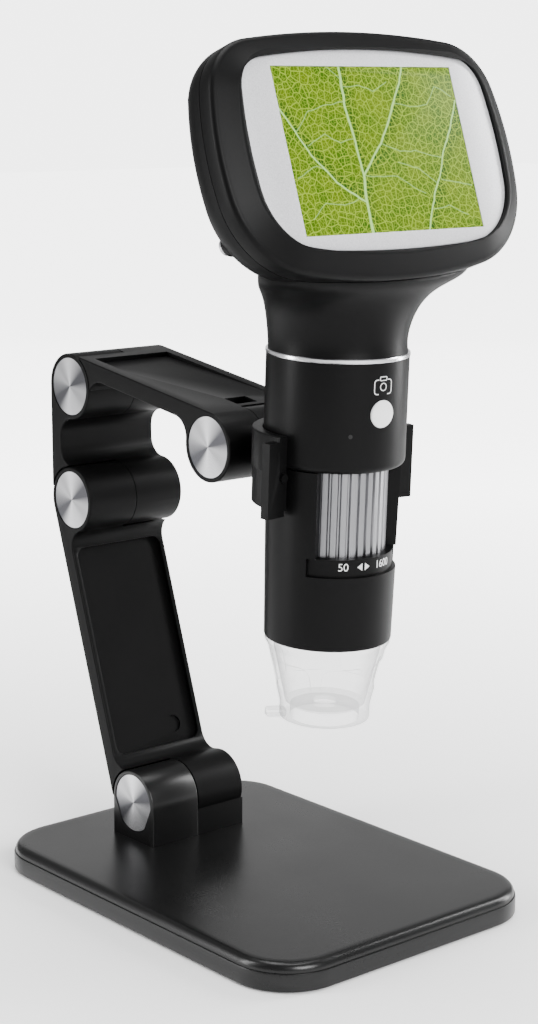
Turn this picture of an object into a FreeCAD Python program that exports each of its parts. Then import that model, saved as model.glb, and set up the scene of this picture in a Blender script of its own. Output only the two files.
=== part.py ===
import FreeCAD, Part
import math
import os
from FreeCAD import Placement, Rotation, Vector

# A hand-held microscope with its own screen, held by a ring clip on a stand of three folding arms.
# X runs along the hinge pins, -Y is the side that the screen faces and +Z is up. The origin is the
# middle of the underside of the base. All sizes are in millimetres and degrees.

doc = FreeCAD.newDocument("lcd_digital_microscope")
sheet = doc.addObject("Spreadsheet::Sheet", "sizes")

SIZES = {
    # base
    "base_width": 84.5,
    "base_depth": 116.5,
    "base_corner": 15.0,
    "pad_thickness": 0.8,
    "pad_proud": 0.4,
    "pad_margin": 5.0,
    "tray_wall_height": 4.5,
    "tray_floor": 1.6,
    "tray_wall": 2.0,
    "cover_inset": 0.35,
    "cover_thickness": 2.2,
    "cover_shoulder": 1.9,
    "ballast_thickness": 2.7,
    "ballast_gap": 0.4,
    "boss_radius": 3.5,
    "boss_margin": 12.0,
    "base_screw_radius": 1.5,
    "base_screw_head_radius": 2.8,
    "base_screw_head": 1.0,
    "base_screw_length": 5.6,
    # hinges
    "hinge_from_rear": 25.4,
    "hinge_height": 9.9,
    "knuckle_radius": 8.6,
    "knuckle_gap": 0.4,
    "knuckle_width": 30.0,
    "seam_gap": 0.2,
    "edge_round": 0.4,
    "pin_radius": 2.5,
    "pin_fit": 0.05,
    "press_fit": 0.01,
    "pin_head_radius": 4.4,
    "pin_head": 2.4,
    "pin_tip_margin": 0.4,
    "cap_radius": 7.5,
    "cap_fit": 0.05,
    "cap_thickness": 1.0,
    "cap_inset": 0.15,
    "cap_bevel": 0.15,
    "nut_across_flats": 8.0,
    "nut_thickness": 4.0,
    "nut_pocket_radius": 5.2,
    "washer_radius": 4.8,
    "washer_thickness": 1.0,
    "washer_dish": 0.3,
    # arms
    "arm_thickness": 4.3,
    "arm_fillet": 5.0,
    "lower_arm_length": 80.8,
    "lower_arm_lean": -18.3,
    "pocket_rim": 1.4,
    "pocket_depth": 1.2,
    "pocket_corner": 2.5,
    "pocket_from_hinge": 12.6,
    "mould_mark_radius": 2.3,
    "mould_mark_depth": 0.4,
    "mould_mark_across": 6.7,
    "mould_mark_along": 17.4,
    "middle_link_length": 30.0,
    "middle_link_lean": 0.0,
    "upper_arm_length": 58.0,
    "upper_arm_lean": 98.6,
    "recess_rim": 3.3,
    "recess_depth": 1.2,
    "recess_start": 5.8,
    "recess_end": 49.0,
    "slot_across": 6.6,
    "slot_along": 5.0,
    "slot_from_hinge": 4.3,
    "clip_seam": -3.6,
    # clip
    "clip_lean": 2.66,
    "clip_reach": 28.8,
    "clip_height": 17.6,
    "clip_drop": 0.5,
    "clip_wall": 2.6,
    "clip_fit": 0.08,
    "clip_mouth": 164.0,
    "clip_neck_height": 12.0,
    "flange_reach": 3.4,
    "flange_thickness": 2.2,
    "flange_drop": 1.2,
    "clip_step": 0.3,
    "clip_nub_radius": 1.1,
    "clip_nub_height": 0.8,
    "clip_nub_down": 1.3,
    # barrel of the microscope
    "shell_radius": 16.7,
    "shell_wall": 1.8,
    "shell_bottom": 0.3,
    "shell_top": 25.9,
    "shell_round": 1.7,
    "ring_height": 1.0,
    "ring_proud": 0.15,
    "barrel_top_radius": 16.0,
    "barrel_foot_radius": 15.2,
    "barrel_foot": -42.1,
    "barrel_bore": 13.9,
    "barrel_edge": 0.5,
    "spigot_height": 6.0,
    "spigot_fit": 0.05,
    "window_half_angle": 55.0,
    "window_foot": -20.0,
    "pinhole_radius": 0.5,
    "pinhole_turn": -30.0,
    "pinhole_height": 9.3,
    "band_foot": -24.2,
    "band_half_angle": 63.0,
    "band_depth": 1.0,
    "bulkhead_thickness": 2.6,
    "race_wall": 2.2,
    # focus wheel and lens
    "wheel_radius": 12.9,
    "wheel_height": 21.5,
    "wheel_foot": -20.9,
    "wheel_bore": 9.0,
    "wheel_groove": 0.55,
    "wheel_groove_angle": 3.6,
    "wheel_ribs": 36,
    "race_height": 1.2,
    "race_gap": 0.1,
    "retainer_thickness": 1.5,
    "retainer_bore": 11.5,
    "running_fit": 0.05,
    "carriage_collar": 12.0,
    "carriage_top": 0.0,
    "carriage_tube_radius": 7.0,
    "carriage_tube_length": 24.0,
    "carriage_bore": 4.6,
    "lens_radius": 5.4,
    "lens_edge": 1.4,
    "lens_crown": 0.9,
    "lens_clear": 0.2,
    # boards in the barrel
    "board_thickness": 1.2,
    "sensor_side": 9.0,
    "sensor_board_radius": 14.6,
    "sensor_height": 1.3,
    "led_board_radius": 13.6,
    "led_board_bore": 7.8,
    "led_board_up": 3.9,
    "led_ledge": 1.0,
    "led_ledge_bore": 12.8,
    "led_side": 2.8,
    "led_height": 0.8,
    "led_circle": 10.6,
    "led_count": 8,
    "photo_button_radius": 3.2,
    "button_fit": 0.15,
    "photo_button_height": 14.2,
    "photo_button_proud": 0.4,
    "photo_button_crown": 0.35,
    "button_flange": 0.5,
    "button_flange_thickness": 1.5,
    "button_shank": 3.9,
    "button_travel": 0.35,
    "press_gap": 0.05,
    "switch_side": 6.0,
    "switch_body": 3.2,
    "switch_stem_radius": 1.6,
    "switch_board_width": 20.0,
    "switch_board_height": 13.2,
    "switch_stem": 0.4,
    # clear hood
    "hood_height": 20.3,
    "hood_rim_radius": 15.0,
    "hood_rim": 0.8,
    "hood_cone_radius": 14.1,
    "hood_cone_drop": 2.5,
    "hood_foot_radius": 10.9,
    "hood_wall": 1.3,
    "hood_plug": 2.8,
    "hood_floor_height": 2.9,
    "hood_floor": 1.0,
    "hood_aperture": 3.1,
    "hood_foot_ring": 3.6,
    "hood_foot_edge": 0.5,
    "hood_recesses": 6,
    "hood_recess_turn": -23.0,
    "hood_recess_width": 10.6,
    "hood_recess_height": 7.7,
    "hood_recess_drop": 4.9,
    "hood_recess_corner": 2.5,
    "hood_recess_depth": 0.5,
    "hood_tab_length": 3.6,
    "hood_tab_width": 4.0,
    "hood_tab_thickness": 1.6,
    "hood_tab_angle": -120.0,
    # head with the screen
    "screen_forward": 11.5,
    "screen_height": 73.3,
    "screen_lean": 21.5,
    "head_half_width": 44.35,
    "head_half_height": 28.7,
    "head_drop": 0.6,
    "head_side_bulge": 0.9,
    "head_top_bulge": 1.9,
    "head_top_corner": 14.5,
    "head_foot_corner": 20.5,
    "panel_half_width": 37.4,
    "panel_half_height": 23.0,
    "panel_side_bulge": 0.6,
    "panel_top_bulge": 0.8,
    "panel_top_corner": 10.0,
    "panel_foot_corner": 15.0,
    "panel_thickness": 1.0,
    "panel_fit": 0.1,
    "bezel_crown": 0.6,
    "bezel_edge": 1.9,
    "bezel_edge_round": 1.4,
    "bezel_depth": 6.6,
    "bezel_wall": 2.2,
    "bezel_rim": 5.2,
    "bezel_ledge": 2.4,
    "housing_depth": 9.5,
    "housing_round": 8.0,
    "housing_wall": 2.2,
    "neck_bore": 12.5,
    "neck_radius": 16.3,
    "neck_height": 21.2,
    "neck_widening": 15.6,
    "neck_thinning": 8.3,
    "neck_forward": 9.0,
    "neck_spigot": 5.0,
    "neck_bore_depth": 6.0,
    "cable_bore": 4.0,
    "cable_forward": 8.0,
    "cable_reach": 20.0,
    "lcd_width": 54.0,
    "lcd_height": 37.8,
    "lcd_frame": 1.5,
    "lcd_thickness": 2.6,
    "lcd_recess": 0.1,
    "main_board_gap": 0.3,
    "main_board_height": 26.0,
    "main_board_shift": 6.0,
    "main_board_behind": 6.7,
    "main_board_tongue_gap": 1.55,
    "chip_side": 14.0,
    "chip_height": 1.2,
    "standoff_radius": 2.6,
    "standoff_from_side": 18.35,
    "standoff_up": 10.0,
    "housing_screw_radius": 1.0,
    "housing_screw_head_radius": 2.0,
    "housing_screw_head": 1.2,
    "housing_screw_sink": 0.8,
    "housing_screw_from_side": 7.45,
    "housing_screw_from_top": 12.1,
    "housing_screw_from_foot": 12.8,
    "housing_screw_length": 11.5,
    "battery_width": 36.0,
    "battery_height": 24.0,
    "battery_shift": 4.0,
    "battery_thickness": 5.5,
    "power_button_proud": 0.3,
    "power_button_radius": 2.0,
    "power_button_across": 12.0,
    "power_button_behind": 9.2,
    "power_button_length": 5.9,
    "power_switch_side": 4.8,
    "power_switch_length": 5.5,
    "power_switch_height": 2.6,
    "charge_socket_width": 7.6,
    "socket_inset": 1.7,
    "socket_wall": 0.35,
    "charge_socket_height": 2.9,
    "charge_socket_length": 5.5,
    "charge_socket_up": 5.5,
    "card_socket_width": 12.5,
    "card_socket_height": 1.8,
    "card_socket_length": 13.0,
    "card_socket_down": 6.5,
}

for row, (alias, value) in enumerate(SIZES.items(), start=1):
    sheet.set("A%d" % row, alias)
    sheet.set("B%d" % row, str(value))
    sheet.setAlias("B%d" % row, alias)
doc.recompute()


def size(alias):
    """The number in the sheet's cell of that name."""
    return float(sheet.get(alias))


def bind(thing, **formulas):
    """Bind properties to formulas in the sheet's cells."""
    for name, formula in formulas.items():
        thing.setExpression(name, formula)
    return thing


def cells(formula):
    """Write sizes.NAME for every cell name in a formula."""
    words = formula.replace("(", " ( ").replace(")", " ) ").split()
    return " ".join("sizes." + word if word in SIZES else word for word in words)


AXIS_X = Vector(1, 0, 0)
AXIS_Y = Vector(0, 1, 0)
AXIS_Z = Vector(0, 0, 1)
ALONG_X = Rotation(AXIS_Y, 90)
ALONG_Y = Rotation(AXIS_X, -90)
TOWARDS_FRONT = Rotation(AXIS_X, 90)


def new_body(label):
    body = doc.addObject("PartDesign::Body", label)
    body.Label = label
    return body


def new_sketch(body, role, edges, height=None):
    """A sketch of closed edges on one of the body's origin planes, raised by a formula in cells."""
    sketch = body.newObject("Sketcher::SketchObject", body.Name + "_outline")
    plane = [feature for feature in body.Origin.OriginFeatures if feature.Role == role][0]
    sketch.AttachmentSupport = (plane, "")
    sketch.MapMode = "FlatFace"
    if height:
        sketch.setExpression("AttachmentOffset.Base.z", cells(height))
    sketch.addGeometry(edges, False)
    return sketch


def pad(body, sketch, length, both_ways=False, reversed_way=False):
    feature = body.newObject("PartDesign::Pad", body.Name + "_pad")
    feature.Profile = sketch
    feature.Midplane = both_ways
    feature.Reversed = reversed_way
    bind(feature, Length=cells(length))
    doc.recompute()
    return feature


def pocket(body, sketch, length, both_ways=False, reversed_way=False):
    """Cut a pocket, and stop if it points away from the solid and cuts nothing."""
    before = body.Shape.Volume
    feature = body.newObject("PartDesign::Pocket", body.Name + "_pocket")
    feature.Profile = sketch
    feature.Midplane = both_ways
    feature.Reversed = reversed_way
    bind(feature, Length=cells(length))
    doc.recompute()
    if body.Shape.Volume >= before:
        raise ValueError(feature.Name + " cuts nothing")
    return feature


def faces_facing(feature, direction):
    """Names of the flat faces of a feature whose outward normal is the given direction."""
    names = []
    for number, face in enumerate(feature.Shape.Faces, start=1):
        if face.Surface.TypeId != "Part::GeomPlane":
            continue
        if face.normalAt(0, 0).dot(direction) > 0.999:
            names.append("Face%d" % number)
    return names


def round_faces(body, feature, directions, radius):
    """Round every edge of the flat faces that look in the given directions."""
    names = []
    for direction in directions:
        names += faces_facing(feature, direction)
    fillet = body.newObject("PartDesign::Fillet", body.Name + "_round")
    fillet.Base = (feature, names)
    bind(fillet, Radius=cells(radius))
    doc.recompute()
    return fillet


def cylinder_cut(body, radius, length, base, turn=Rotation()):
    """Cut a cylinder whose axis starts at base and runs along the turned Z axis."""
    before = body.Shape.Volume
    feature = body.newObject("PartDesign::SubtractiveCylinder", body.Name + "_bore")
    feature.Placement = Placement(base, turn)
    bind(feature, Radius=cells(radius), Height=cells(length))
    doc.recompute()
    if body.Shape.Volume >= before:
        raise ValueError(feature.Name + " cuts nothing")
    return feature


def cylinder_add(body, radius, length, base, turn=Rotation()):
    feature = body.newObject("PartDesign::AdditiveCylinder", body.Name + "_boss")
    feature.Placement = Placement(base, turn)
    bind(feature, Radius=cells(radius), Height=cells(length))
    doc.recompute()
    return feature


def box_cut(body, width, depth, height, base):
    before = body.Shape.Volume
    feature = body.newObject("PartDesign::SubtractiveBox", body.Name + "_slot")
    feature.Placement = Placement(base, Rotation())
    bind(feature, Length=cells(width), Width=cells(depth), Height=cells(height))
    doc.recompute()
    if body.Shape.Volume >= before:
        raise ValueError(feature.Name + " cuts nothing")
    return feature


def box_add(body, width, depth, height, base):
    feature = body.newObject("PartDesign::AdditiveBox", body.Name + "_block")
    feature.Placement = Placement(base, Rotation())
    bind(feature, Length=cells(width), Width=cells(depth), Height=cells(height))
    doc.recompute()
    return feature


def polygon(corners):
    """Straight edges round the corners, given as pairs in the sketch's own plane."""
    points = [Vector(across, up, 0) for across, up in corners]
    return [Part.LineSegment(start, end) for start, end in zip(points, points[1:] + points[:1])]


def arc_about(centre, radius, start, end):
    """An arc from one angle to another in degrees, anticlockwise when end is the larger."""
    points = []
    for angle in (start, (start + end) / 2, end):
        turn = math.radians(angle)
        points.append(Vector(centre[0] + radius * math.cos(turn), centre[1] + radius * math.sin(turn), 0))
    return Part.Arc(*points)


def rounded_rectangle(half_width, half_height, corner, centre=(0.0, 0.0)):
    """Four straight sides joined by four quarter arcs."""
    right = half_width - corner
    top = half_height - corner
    edges = []
    corners = ((right, top, 0), (-right, top, 90), (-right, -top, 180), (right, -top, 270))
    arcs = [arc_about((centre[0] + x, centre[1] + y), corner, turn, turn + 90) for x, y, turn in corners]
    for index, arc in enumerate(arcs):
        edges.append(arc)
        edges.append(Part.LineSegment(arc.EndPoint, arcs[(index + 1) % 4].StartPoint))
    return edges


def turned(label, profile, placement=Placement()):
    """A body of revolution about its own Z axis from a profile of radius and height pairs."""
    body = new_body(label)
    sketch = new_sketch(body, "XZ_Plane", polygon(profile))
    feature = body.newObject("PartDesign::Revolution", label + "_turn")
    feature.Profile = sketch
    feature.ReferenceAxis = (sketch, ["V_Axis"])
    feature.Angle = 360
    doc.recompute()
    body.Placement = placement
    return body


def tube(inner, outer, foot, top):
    return [(inner, foot), (outer, foot), (outer, top), (inner, top)]


nodes = []


def keep(*parts):
    """List finished sub-parts as nodes of the assembly."""
    for part in parts:
        nodes.append(part)


# Levels of the base, from the floor up
tray_foot = size("pad_proud")
tray_top = tray_foot + size("tray_wall_height")
plateau = tray_top + size("cover_thickness")
half_width = size("base_width") / 2
half_depth = size("base_depth") / 2
half_knuckle = size("knuckle_width") / 2
half_seam = size("seam_gap") / 2
knuckle = size("knuckle_radius")
knuckle_clear = knuckle + size("knuckle_gap")
hinge_y = half_depth - size("hinge_from_rear")
boss_x = half_width - size("boss_margin")
boss_y = half_depth - size("boss_margin")
boss_places = [(x, y) for x in (-boss_x, boss_x) for y in (-boss_y, boss_y)]


def lean_frame(origin, lean):
    """A frame at a hinge, turned about the pins: its Z runs along the arm and its Y to the outer side."""
    return Placement(origin, Rotation(AXIS_X, lean))


def far_end(frame, length):
    return frame.multVec(Vector(0, 0, length))


# The chain of hinges, from the base to the microscope
base_hinge = Vector(0, hinge_y, plateau + size("hinge_height"))
lower_arm_frame = lean_frame(base_hinge, size("lower_arm_lean"))
lower_elbow = far_end(lower_arm_frame, size("lower_arm_length"))
middle_link_frame = lean_frame(lower_elbow, size("middle_link_lean"))
upper_elbow = far_end(middle_link_frame, size("middle_link_length"))
upper_arm_frame = lean_frame(upper_elbow, size("upper_arm_lean"))
clip_hinge = far_end(upper_arm_frame, size("upper_arm_length"))
clip_frame = lean_frame(clip_hinge, size("clip_lean"))
scope_frame = clip_frame.multiply(Placement(Vector(0, -size("clip_reach"), 0), Rotation()))
screen_place = Placement(
    Vector(0, -size("screen_forward"), size("screen_height")),
    Rotation(AXIS_X, 90 - size("screen_lean")),
)
screen_frame = scope_frame.multiply(screen_place)


def hinge_bores(body, y, z, seam, side):
    """Bore a knuckle on one side of a seam: pin, cap seat, and the pocket for pin head or nut.

    side is -1 for the knuckle that carries the pin's head and +1 for the one that turns on it.
    """
    face = side * half_knuckle
    turn = ALONG_X if side < 0 else Rotation(AXIS_Y, -90)
    start = Vector(face, y, z)
    cylinder_cut(body, "cap_radius + cap_fit", "cap_thickness + cap_inset", start, turn)
    if side < 0:
        cylinder_cut(body, "pin_head_radius + pin_fit", "cap_thickness + cap_inset + pin_head", start, turn)
        cylinder_cut(body, "pin_radius + press_fit", "knuckle_width", start, turn)
    else:
        depth = "cap_thickness + cap_inset + pin_tip_margin + nut_thickness + washer_thickness + washer_dish"
        cylinder_cut(body, "nut_pocket_radius", depth, start, turn)
        cylinder_cut(body, "pin_radius + pin_fit", "knuckle_width", start, turn)


def make_base():
    """Cover with the hinge block, tray, steel ballast, rubber pad and the four screws."""
    corner = size("base_corner")
    inset = size("cover_inset")

    tray = new_body("base_tray")
    outline = new_sketch(tray, "XY_Plane", rounded_rectangle(half_width, half_depth, corner), "pad_proud")
    block = pad(tray, outline, "tray_wall_height")
    round_faces(tray, block, [Vector(0, 0, -1)], "edge_round")
    wall = size("tray_wall")
    hollow = rounded_rectangle(half_width - wall, half_depth - wall, corner - wall)
    cavity = new_sketch(tray, "XY_Plane", hollow, "pad_proud + tray_wall_height")
    pocket(tray, cavity, "tray_wall_height - tray_floor")
    margin = size("pad_margin")
    pad_outline = rounded_rectangle(half_width - margin, half_depth - margin, corner - margin)
    seat = new_sketch(tray, "XY_Plane", pad_outline, "pad_thickness")
    pocket(tray, seat, "pad_thickness")
    head_depth = "pad_thickness + base_screw_head"
    for x, y in boss_places:
        foot = Vector(x, y, 0)
        cylinder_cut(tray, "base_screw_head_radius + cap_fit", head_depth, foot)
        cylinder_cut(tray, "base_screw_radius + cap_fit", "tray_wall_height", foot)
    keep(tray)

    rubber = new_body("base_pad")
    sheet_edge = size("pad_margin") + size("cap_fit")
    pad_edge = rounded_rectangle(half_width - sheet_edge, half_depth - sheet_edge, corner - margin)
    pad(rubber, new_sketch(rubber, "XY_Plane", pad_edge), "pad_thickness")
    keep(rubber)

    ballast = new_body("ballast_plate")
    edge = wall + size("ballast_gap")
    plate = rounded_rectangle(half_width - edge, half_depth - edge, corner - edge)
    pad(ballast, new_sketch(ballast, "XY_Plane", plate, "pad_proud + tray_floor"), "ballast_thickness")
    for x, y in boss_places:
        cylinder_cut(ballast, "boss_radius + ballast_gap", "tray_wall_height", Vector(x, y, tray_foot))
    keep(ballast)

    cover = new_body("base_cover")
    outline = rounded_rectangle(half_width - inset, half_depth - inset, corner - inset)
    seam = new_sketch(cover, "XY_Plane", outline, "pad_proud + tray_wall_height")
    slab = pad(cover, seam, "cover_thickness")
    round_faces(cover, slab, [AXIS_Z], "cover_shoulder")
    boss_foot = tray_foot + size("tray_floor")
    for x, y in boss_places:
        cylinder_add(cover, "boss_radius", "tray_wall_height - tray_floor", Vector(x, y, boss_foot))
        screw_seat = Vector(x, y, size("pad_thickness"))
        cylinder_cut(cover, "base_screw_radius + press_fit", "base_screw_length + pin_fit", screw_seat)
    post = new_sketch(cover, "YZ_Plane", hinge_post_edges())
    pad(cover, post, "knuckle_width", both_ways=True)
    pocket_base = Vector(half_seam, base_hinge.y, base_hinge.z)
    cylinder_cut(cover, "knuckle_radius + knuckle_gap", "knuckle_width", pocket_base, ALONG_X)
    hinge_bores(cover, base_hinge.y, base_hinge.z, 0, -1)
    keep(cover)

    screw = [
        (0, 0),
        (size("base_screw_head_radius"), 0),
        (size("base_screw_head_radius"), size("base_screw_head")),
        (size("base_screw_radius"), size("base_screw_head")),
        (size("base_screw_radius"), size("base_screw_length")),
        (0, size("base_screw_length")),
    ]
    places = [Placement(Vector(x, y, size("pad_thickness")), Rotation()) for x, y in boss_places]
    keep(group_of("base_screws", turned("base_screw_single", screw), places))


def hinge_post_edges():
    """Side view of the hinge block: upright sides rising from the cover to a half-round top."""
    y, z = base_hinge.y, base_hinge.z
    front, rear = y - knuckle, y + knuckle
    root = plateau - size("cover_thickness") / 2
    return [
        Part.LineSegment(Vector(front, root, 0), Vector(rear, root, 0)),
        Part.LineSegment(Vector(rear, root, 0), Vector(rear, z, 0)),
        arc_about((y, z), knuckle, 0, 180),
        Part.LineSegment(Vector(front, z, 0), Vector(front, root, 0)),
    ]


def group_of(label, single, places, frame=Placement()):
    """Several equal pieces, kept together as one node of separate solids."""
    copies = []
    for place in places:
        copy = single.Shape.copy()
        copy.Placement = frame.multiply(place)
        copies.append(copy)
    group = doc.addObject("Part::Feature", label)
    group.Label = label
    group.Shape = Part.makeCompound(copies)
    return group


def arm_edges(length, fillet):
    """Side view of an arm: a plate on the outer side that joins two knuckles with inner fillets.

    The plate's outer face is tangent to both knuckles. A fillet circle touches the plate's inner
    face and the knuckle, so its centre is one fillet radius inside that face and a knuckle plus a
    fillet radius from the hinge.
    """
    inner = knuckle - size("arm_thickness")
    centre_y = inner - fillet
    centre_z = math.sqrt((knuckle + fillet) ** 2 - centre_y ** 2)
    towards_hinge = math.degrees(math.atan2(-centre_z, -centre_y))
    on_knuckle = math.degrees(math.atan2(centre_z, centre_y))
    lower_fillet = arc_about((centre_y, centre_z), fillet, towards_hinge, 0)
    upper_fillet = arc_about((centre_y, length - centre_z), fillet, 0, -towards_hinge)
    lower_end = arc_about((0, 0), knuckle, on_knuckle, 360)
    upper_end = arc_about((0, length), knuckle, 0, 360 - on_knuckle)
    return [
        lower_end,
        Part.LineSegment(lower_end.EndPoint, upper_end.StartPoint),
        upper_end,
        upper_fillet,
        Part.LineSegment(upper_fillet.StartPoint, lower_fillet.EndPoint),
        lower_fillet,
    ]


def make_arm(label, length_cell, fillet, lower_seam=0.0, upper_seam=0.0):
    """An arm with the turning knuckle at its lower end and the pin's knuckle at its far end."""
    length = size(length_cell)
    arm = new_body(label)
    block = pad(arm, new_sketch(arm, "YZ_Plane", arm_edges(length, fillet)), "knuckle_width", both_ways=True)
    round_faces(arm, block, [AXIS_X, -AXIS_X], "edge_round")
    clear = "knuckle_radius + knuckle_gap"
    lower_start = Vector(lower_seam + half_seam, 0, 0)
    cylinder_cut(arm, clear, "knuckle_width", lower_start, Rotation(AXIS_Y, -90))
    upper_start = Vector(upper_seam - half_seam, 0, length)
    cylinder_cut(arm, clear, "knuckle_width", upper_start, ALONG_X)
    hinge_bores(arm, 0, 0, lower_seam, 1)
    hinge_bores(arm, 0, length, upper_seam, -1)
    return arm


def make_lower_arm():
    """The long arm, with a shallow pocket in its front face and a round mould mark in the pocket."""
    arm = make_arm("lower_arm", "lower_arm_length", size("arm_fillet"))
    inner = knuckle - size("arm_thickness")
    start = size("pocket_from_hinge")
    end = size("lower_arm_length") - start
    half_across = half_knuckle - size("pocket_rim")
    shape = rounded_rectangle(half_across, (end - start) / 2, size("pocket_corner"), (0, (start + end) / 2))
    sketch = new_sketch(arm, "XZ_Plane", shape)
    floor = "0 - ( knuckle_radius - arm_thickness + pocket_depth )"
    sketch.setExpression("AttachmentOffset.Base.z", cells(floor))
    pocket(arm, sketch, "pocket_depth + 2 * arm_fillet", reversed_way=True)
    mark = Vector(size("mould_mark_across"), inner, size("mould_mark_along"))
    cylinder_cut(arm, "mould_mark_radius", "pocket_depth + mould_mark_depth", mark, ALONG_Y)
    arm.Placement = lower_arm_frame
    keep(arm)


def make_middle_link():
    link = make_arm("middle_link", "middle_link_length", size("arm_fillet"))
    link.Placement = middle_link_frame
    keep(link)


def make_upper_arm():
    """The arm over the stage, with a recess in its top face and a slot through it near the clip."""
    seam = size("clip_seam")
    arm = make_arm("upper_arm", "upper_arm_length", size("arm_fillet"), 0.0, seam)
    start = size("recess_start")
    end = size("recess_end")
    half_across = half_knuckle - size("recess_rim")
    floor_start = knuckle - size("recess_depth")
    wedge = polygon([
        (floor_start, start),
        (knuckle + size("recess_depth"), start),
        (knuckle + size("recess_depth"), end),
        (knuckle, end),
    ])
    sketch = new_sketch(arm, "YZ_Plane", wedge)
    before = arm.Shape.Volume
    feature = arm.newObject("PartDesign::Pocket", "upper_arm_recess")
    feature.Profile = sketch
    feature.Midplane = True
    bind(feature, Length=cells("knuckle_width - 2 * recess_rim"))
    doc.recompute()
    if arm.Shape.Volume >= before:
        raise ValueError("the recess cuts nothing")
    slot_end = size("upper_arm_length") - size("slot_from_hinge")
    base = Vector(-size("slot_across") / 2, 0, slot_end - size("slot_along"))
    box_cut(arm, "slot_across", "2 * knuckle_radius", "slot_along", base)
    arm.Placement = upper_arm_frame
    keep(arm)


def sector(inner, outer, start, end):
    """Edges of a ring sector between two radii and two angles in degrees."""
    outer_arc = arc_about((0, 0), outer, start, end)
    inner_arc = arc_about((0, 0), inner, end, start)
    return [
        outer_arc,
        Part.LineSegment(outer_arc.EndPoint, inner_arc.StartPoint),
        inner_arc,
        Part.LineSegment(inner_arc.EndPoint, outer_arc.StartPoint),
    ]


def aim(turn_from_front):
    """A turn that lays the Z axis flat, pointing away from the tube at an angle from the front."""
    return Rotation(AXIS_Z, turn_from_front).multiply(TOWARDS_FRONT)


def block(label, width, depth, height, base, placement):
    body = new_body(label)
    box_add(body, width, depth, height, base)
    body.Placement = placement
    return body


def make_hinges():
    """Pin, dished washer, nut and two silver caps for each of the four hinges."""
    cap_room = size("cap_thickness") + size("cap_inset")
    pin_start = cap_room - half_knuckle
    pin_end = half_knuckle - cap_room - size("pin_tip_margin")
    nut_start = pin_end - size("nut_thickness")
    washer_start = nut_start - size("washer_thickness") - size("washer_dish")
    pin_profile = [
        (0, 0),
        (size("pin_head_radius"), 0),
        (size("pin_head_radius"), size("pin_head")),
        (size("pin_radius"), size("pin_head")),
        (size("pin_radius"), pin_end - pin_start),
        (0, pin_end - pin_start),
    ]
    washer_bore = size("pin_radius") + size("pin_fit")
    dish = size("washer_dish")
    washer_profile = [
        (washer_bore, dish),
        (size("washer_radius"), 0),
        (size("washer_radius"), size("washer_thickness")),
        (washer_bore, size("washer_thickness") + dish),
    ]
    nut_corner = size("nut_across_flats") / math.sqrt(3)
    corners = [math.radians(60 * count) for count in range(6)]
    hexagon = polygon([(nut_corner * math.cos(turn), nut_corner * math.sin(turn)) for turn in corners])
    hinges = {
        "base_hinge": base_hinge,
        "lower_elbow": lower_elbow,
        "upper_elbow": upper_elbow,
        "clip_hinge": clip_hinge,
    }
    for name, centre in hinges.items():
        keep(turned(name + "_pin", pin_profile, Placement(centre + Vector(pin_start, 0, 0), ALONG_X)))
        washer_place = Placement(centre + Vector(washer_start, 0, 0), ALONG_X)
        keep(turned(name + "_washer", washer_profile, washer_place))
        nut = new_body(name + "_nut")
        pad(nut, new_sketch(nut, "XY_Plane", hexagon), "nut_thickness")
        cylinder_cut(nut, "pin_radius + press_fit", "nut_thickness", Vector())
        nut.Placement = Placement(centre + Vector(nut_start, 0, 0), ALONG_X)
        keep(nut)

    bevel = size("cap_bevel")
    cap_radius = size("cap_radius")
    cap_profile = [
        (0, 0),
        (cap_radius, 0),
        (cap_radius, size("cap_thickness") - bevel),
        (cap_radius - bevel, size("cap_thickness")),
        (0, size("cap_thickness")),
    ]
    seat = half_knuckle - cap_room
    cap = turned("cap_single", cap_profile)
    left = Rotation(AXIS_Y, -90)
    owners = {
        "base_hinge_cap": [(base_hinge, left)],
        "lower_arm_hinge_caps": [(base_hinge, ALONG_X), (lower_elbow, left)],
        "middle_link_hinge_caps": [(lower_elbow, ALONG_X), (upper_elbow, left)],
        "upper_arm_hinge_caps": [(upper_elbow, ALONG_X), (clip_hinge, left)],
        "clip_hinge_cap": [(clip_hinge, ALONG_X)],
    }
    for name, places in owners.items():
        seats = [Placement(centre + turn.multVec(Vector(0, 0, seat)), turn) for centre, turn in places]
        keep(group_of(name, cap, seats))


def flange_edges(angle, inward, foot_radius, tip_radius):
    """A flange that stands out from one end of the clip; inward is the way round into the clip."""
    turn = math.radians(angle)
    outward = Vector(math.cos(turn), math.sin(turn), 0)
    along = Vector(-math.sin(turn), math.cos(turn), 0) * inward
    thickness = size("flange_thickness")
    reach = ((foot_radius, 0), (tip_radius, 0), (tip_radius, thickness), (foot_radius, thickness))
    corners = [outward * radius + along * across for radius, across in reach]
    return polygon([(corner.x, corner.y) for corner in corners])


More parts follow.
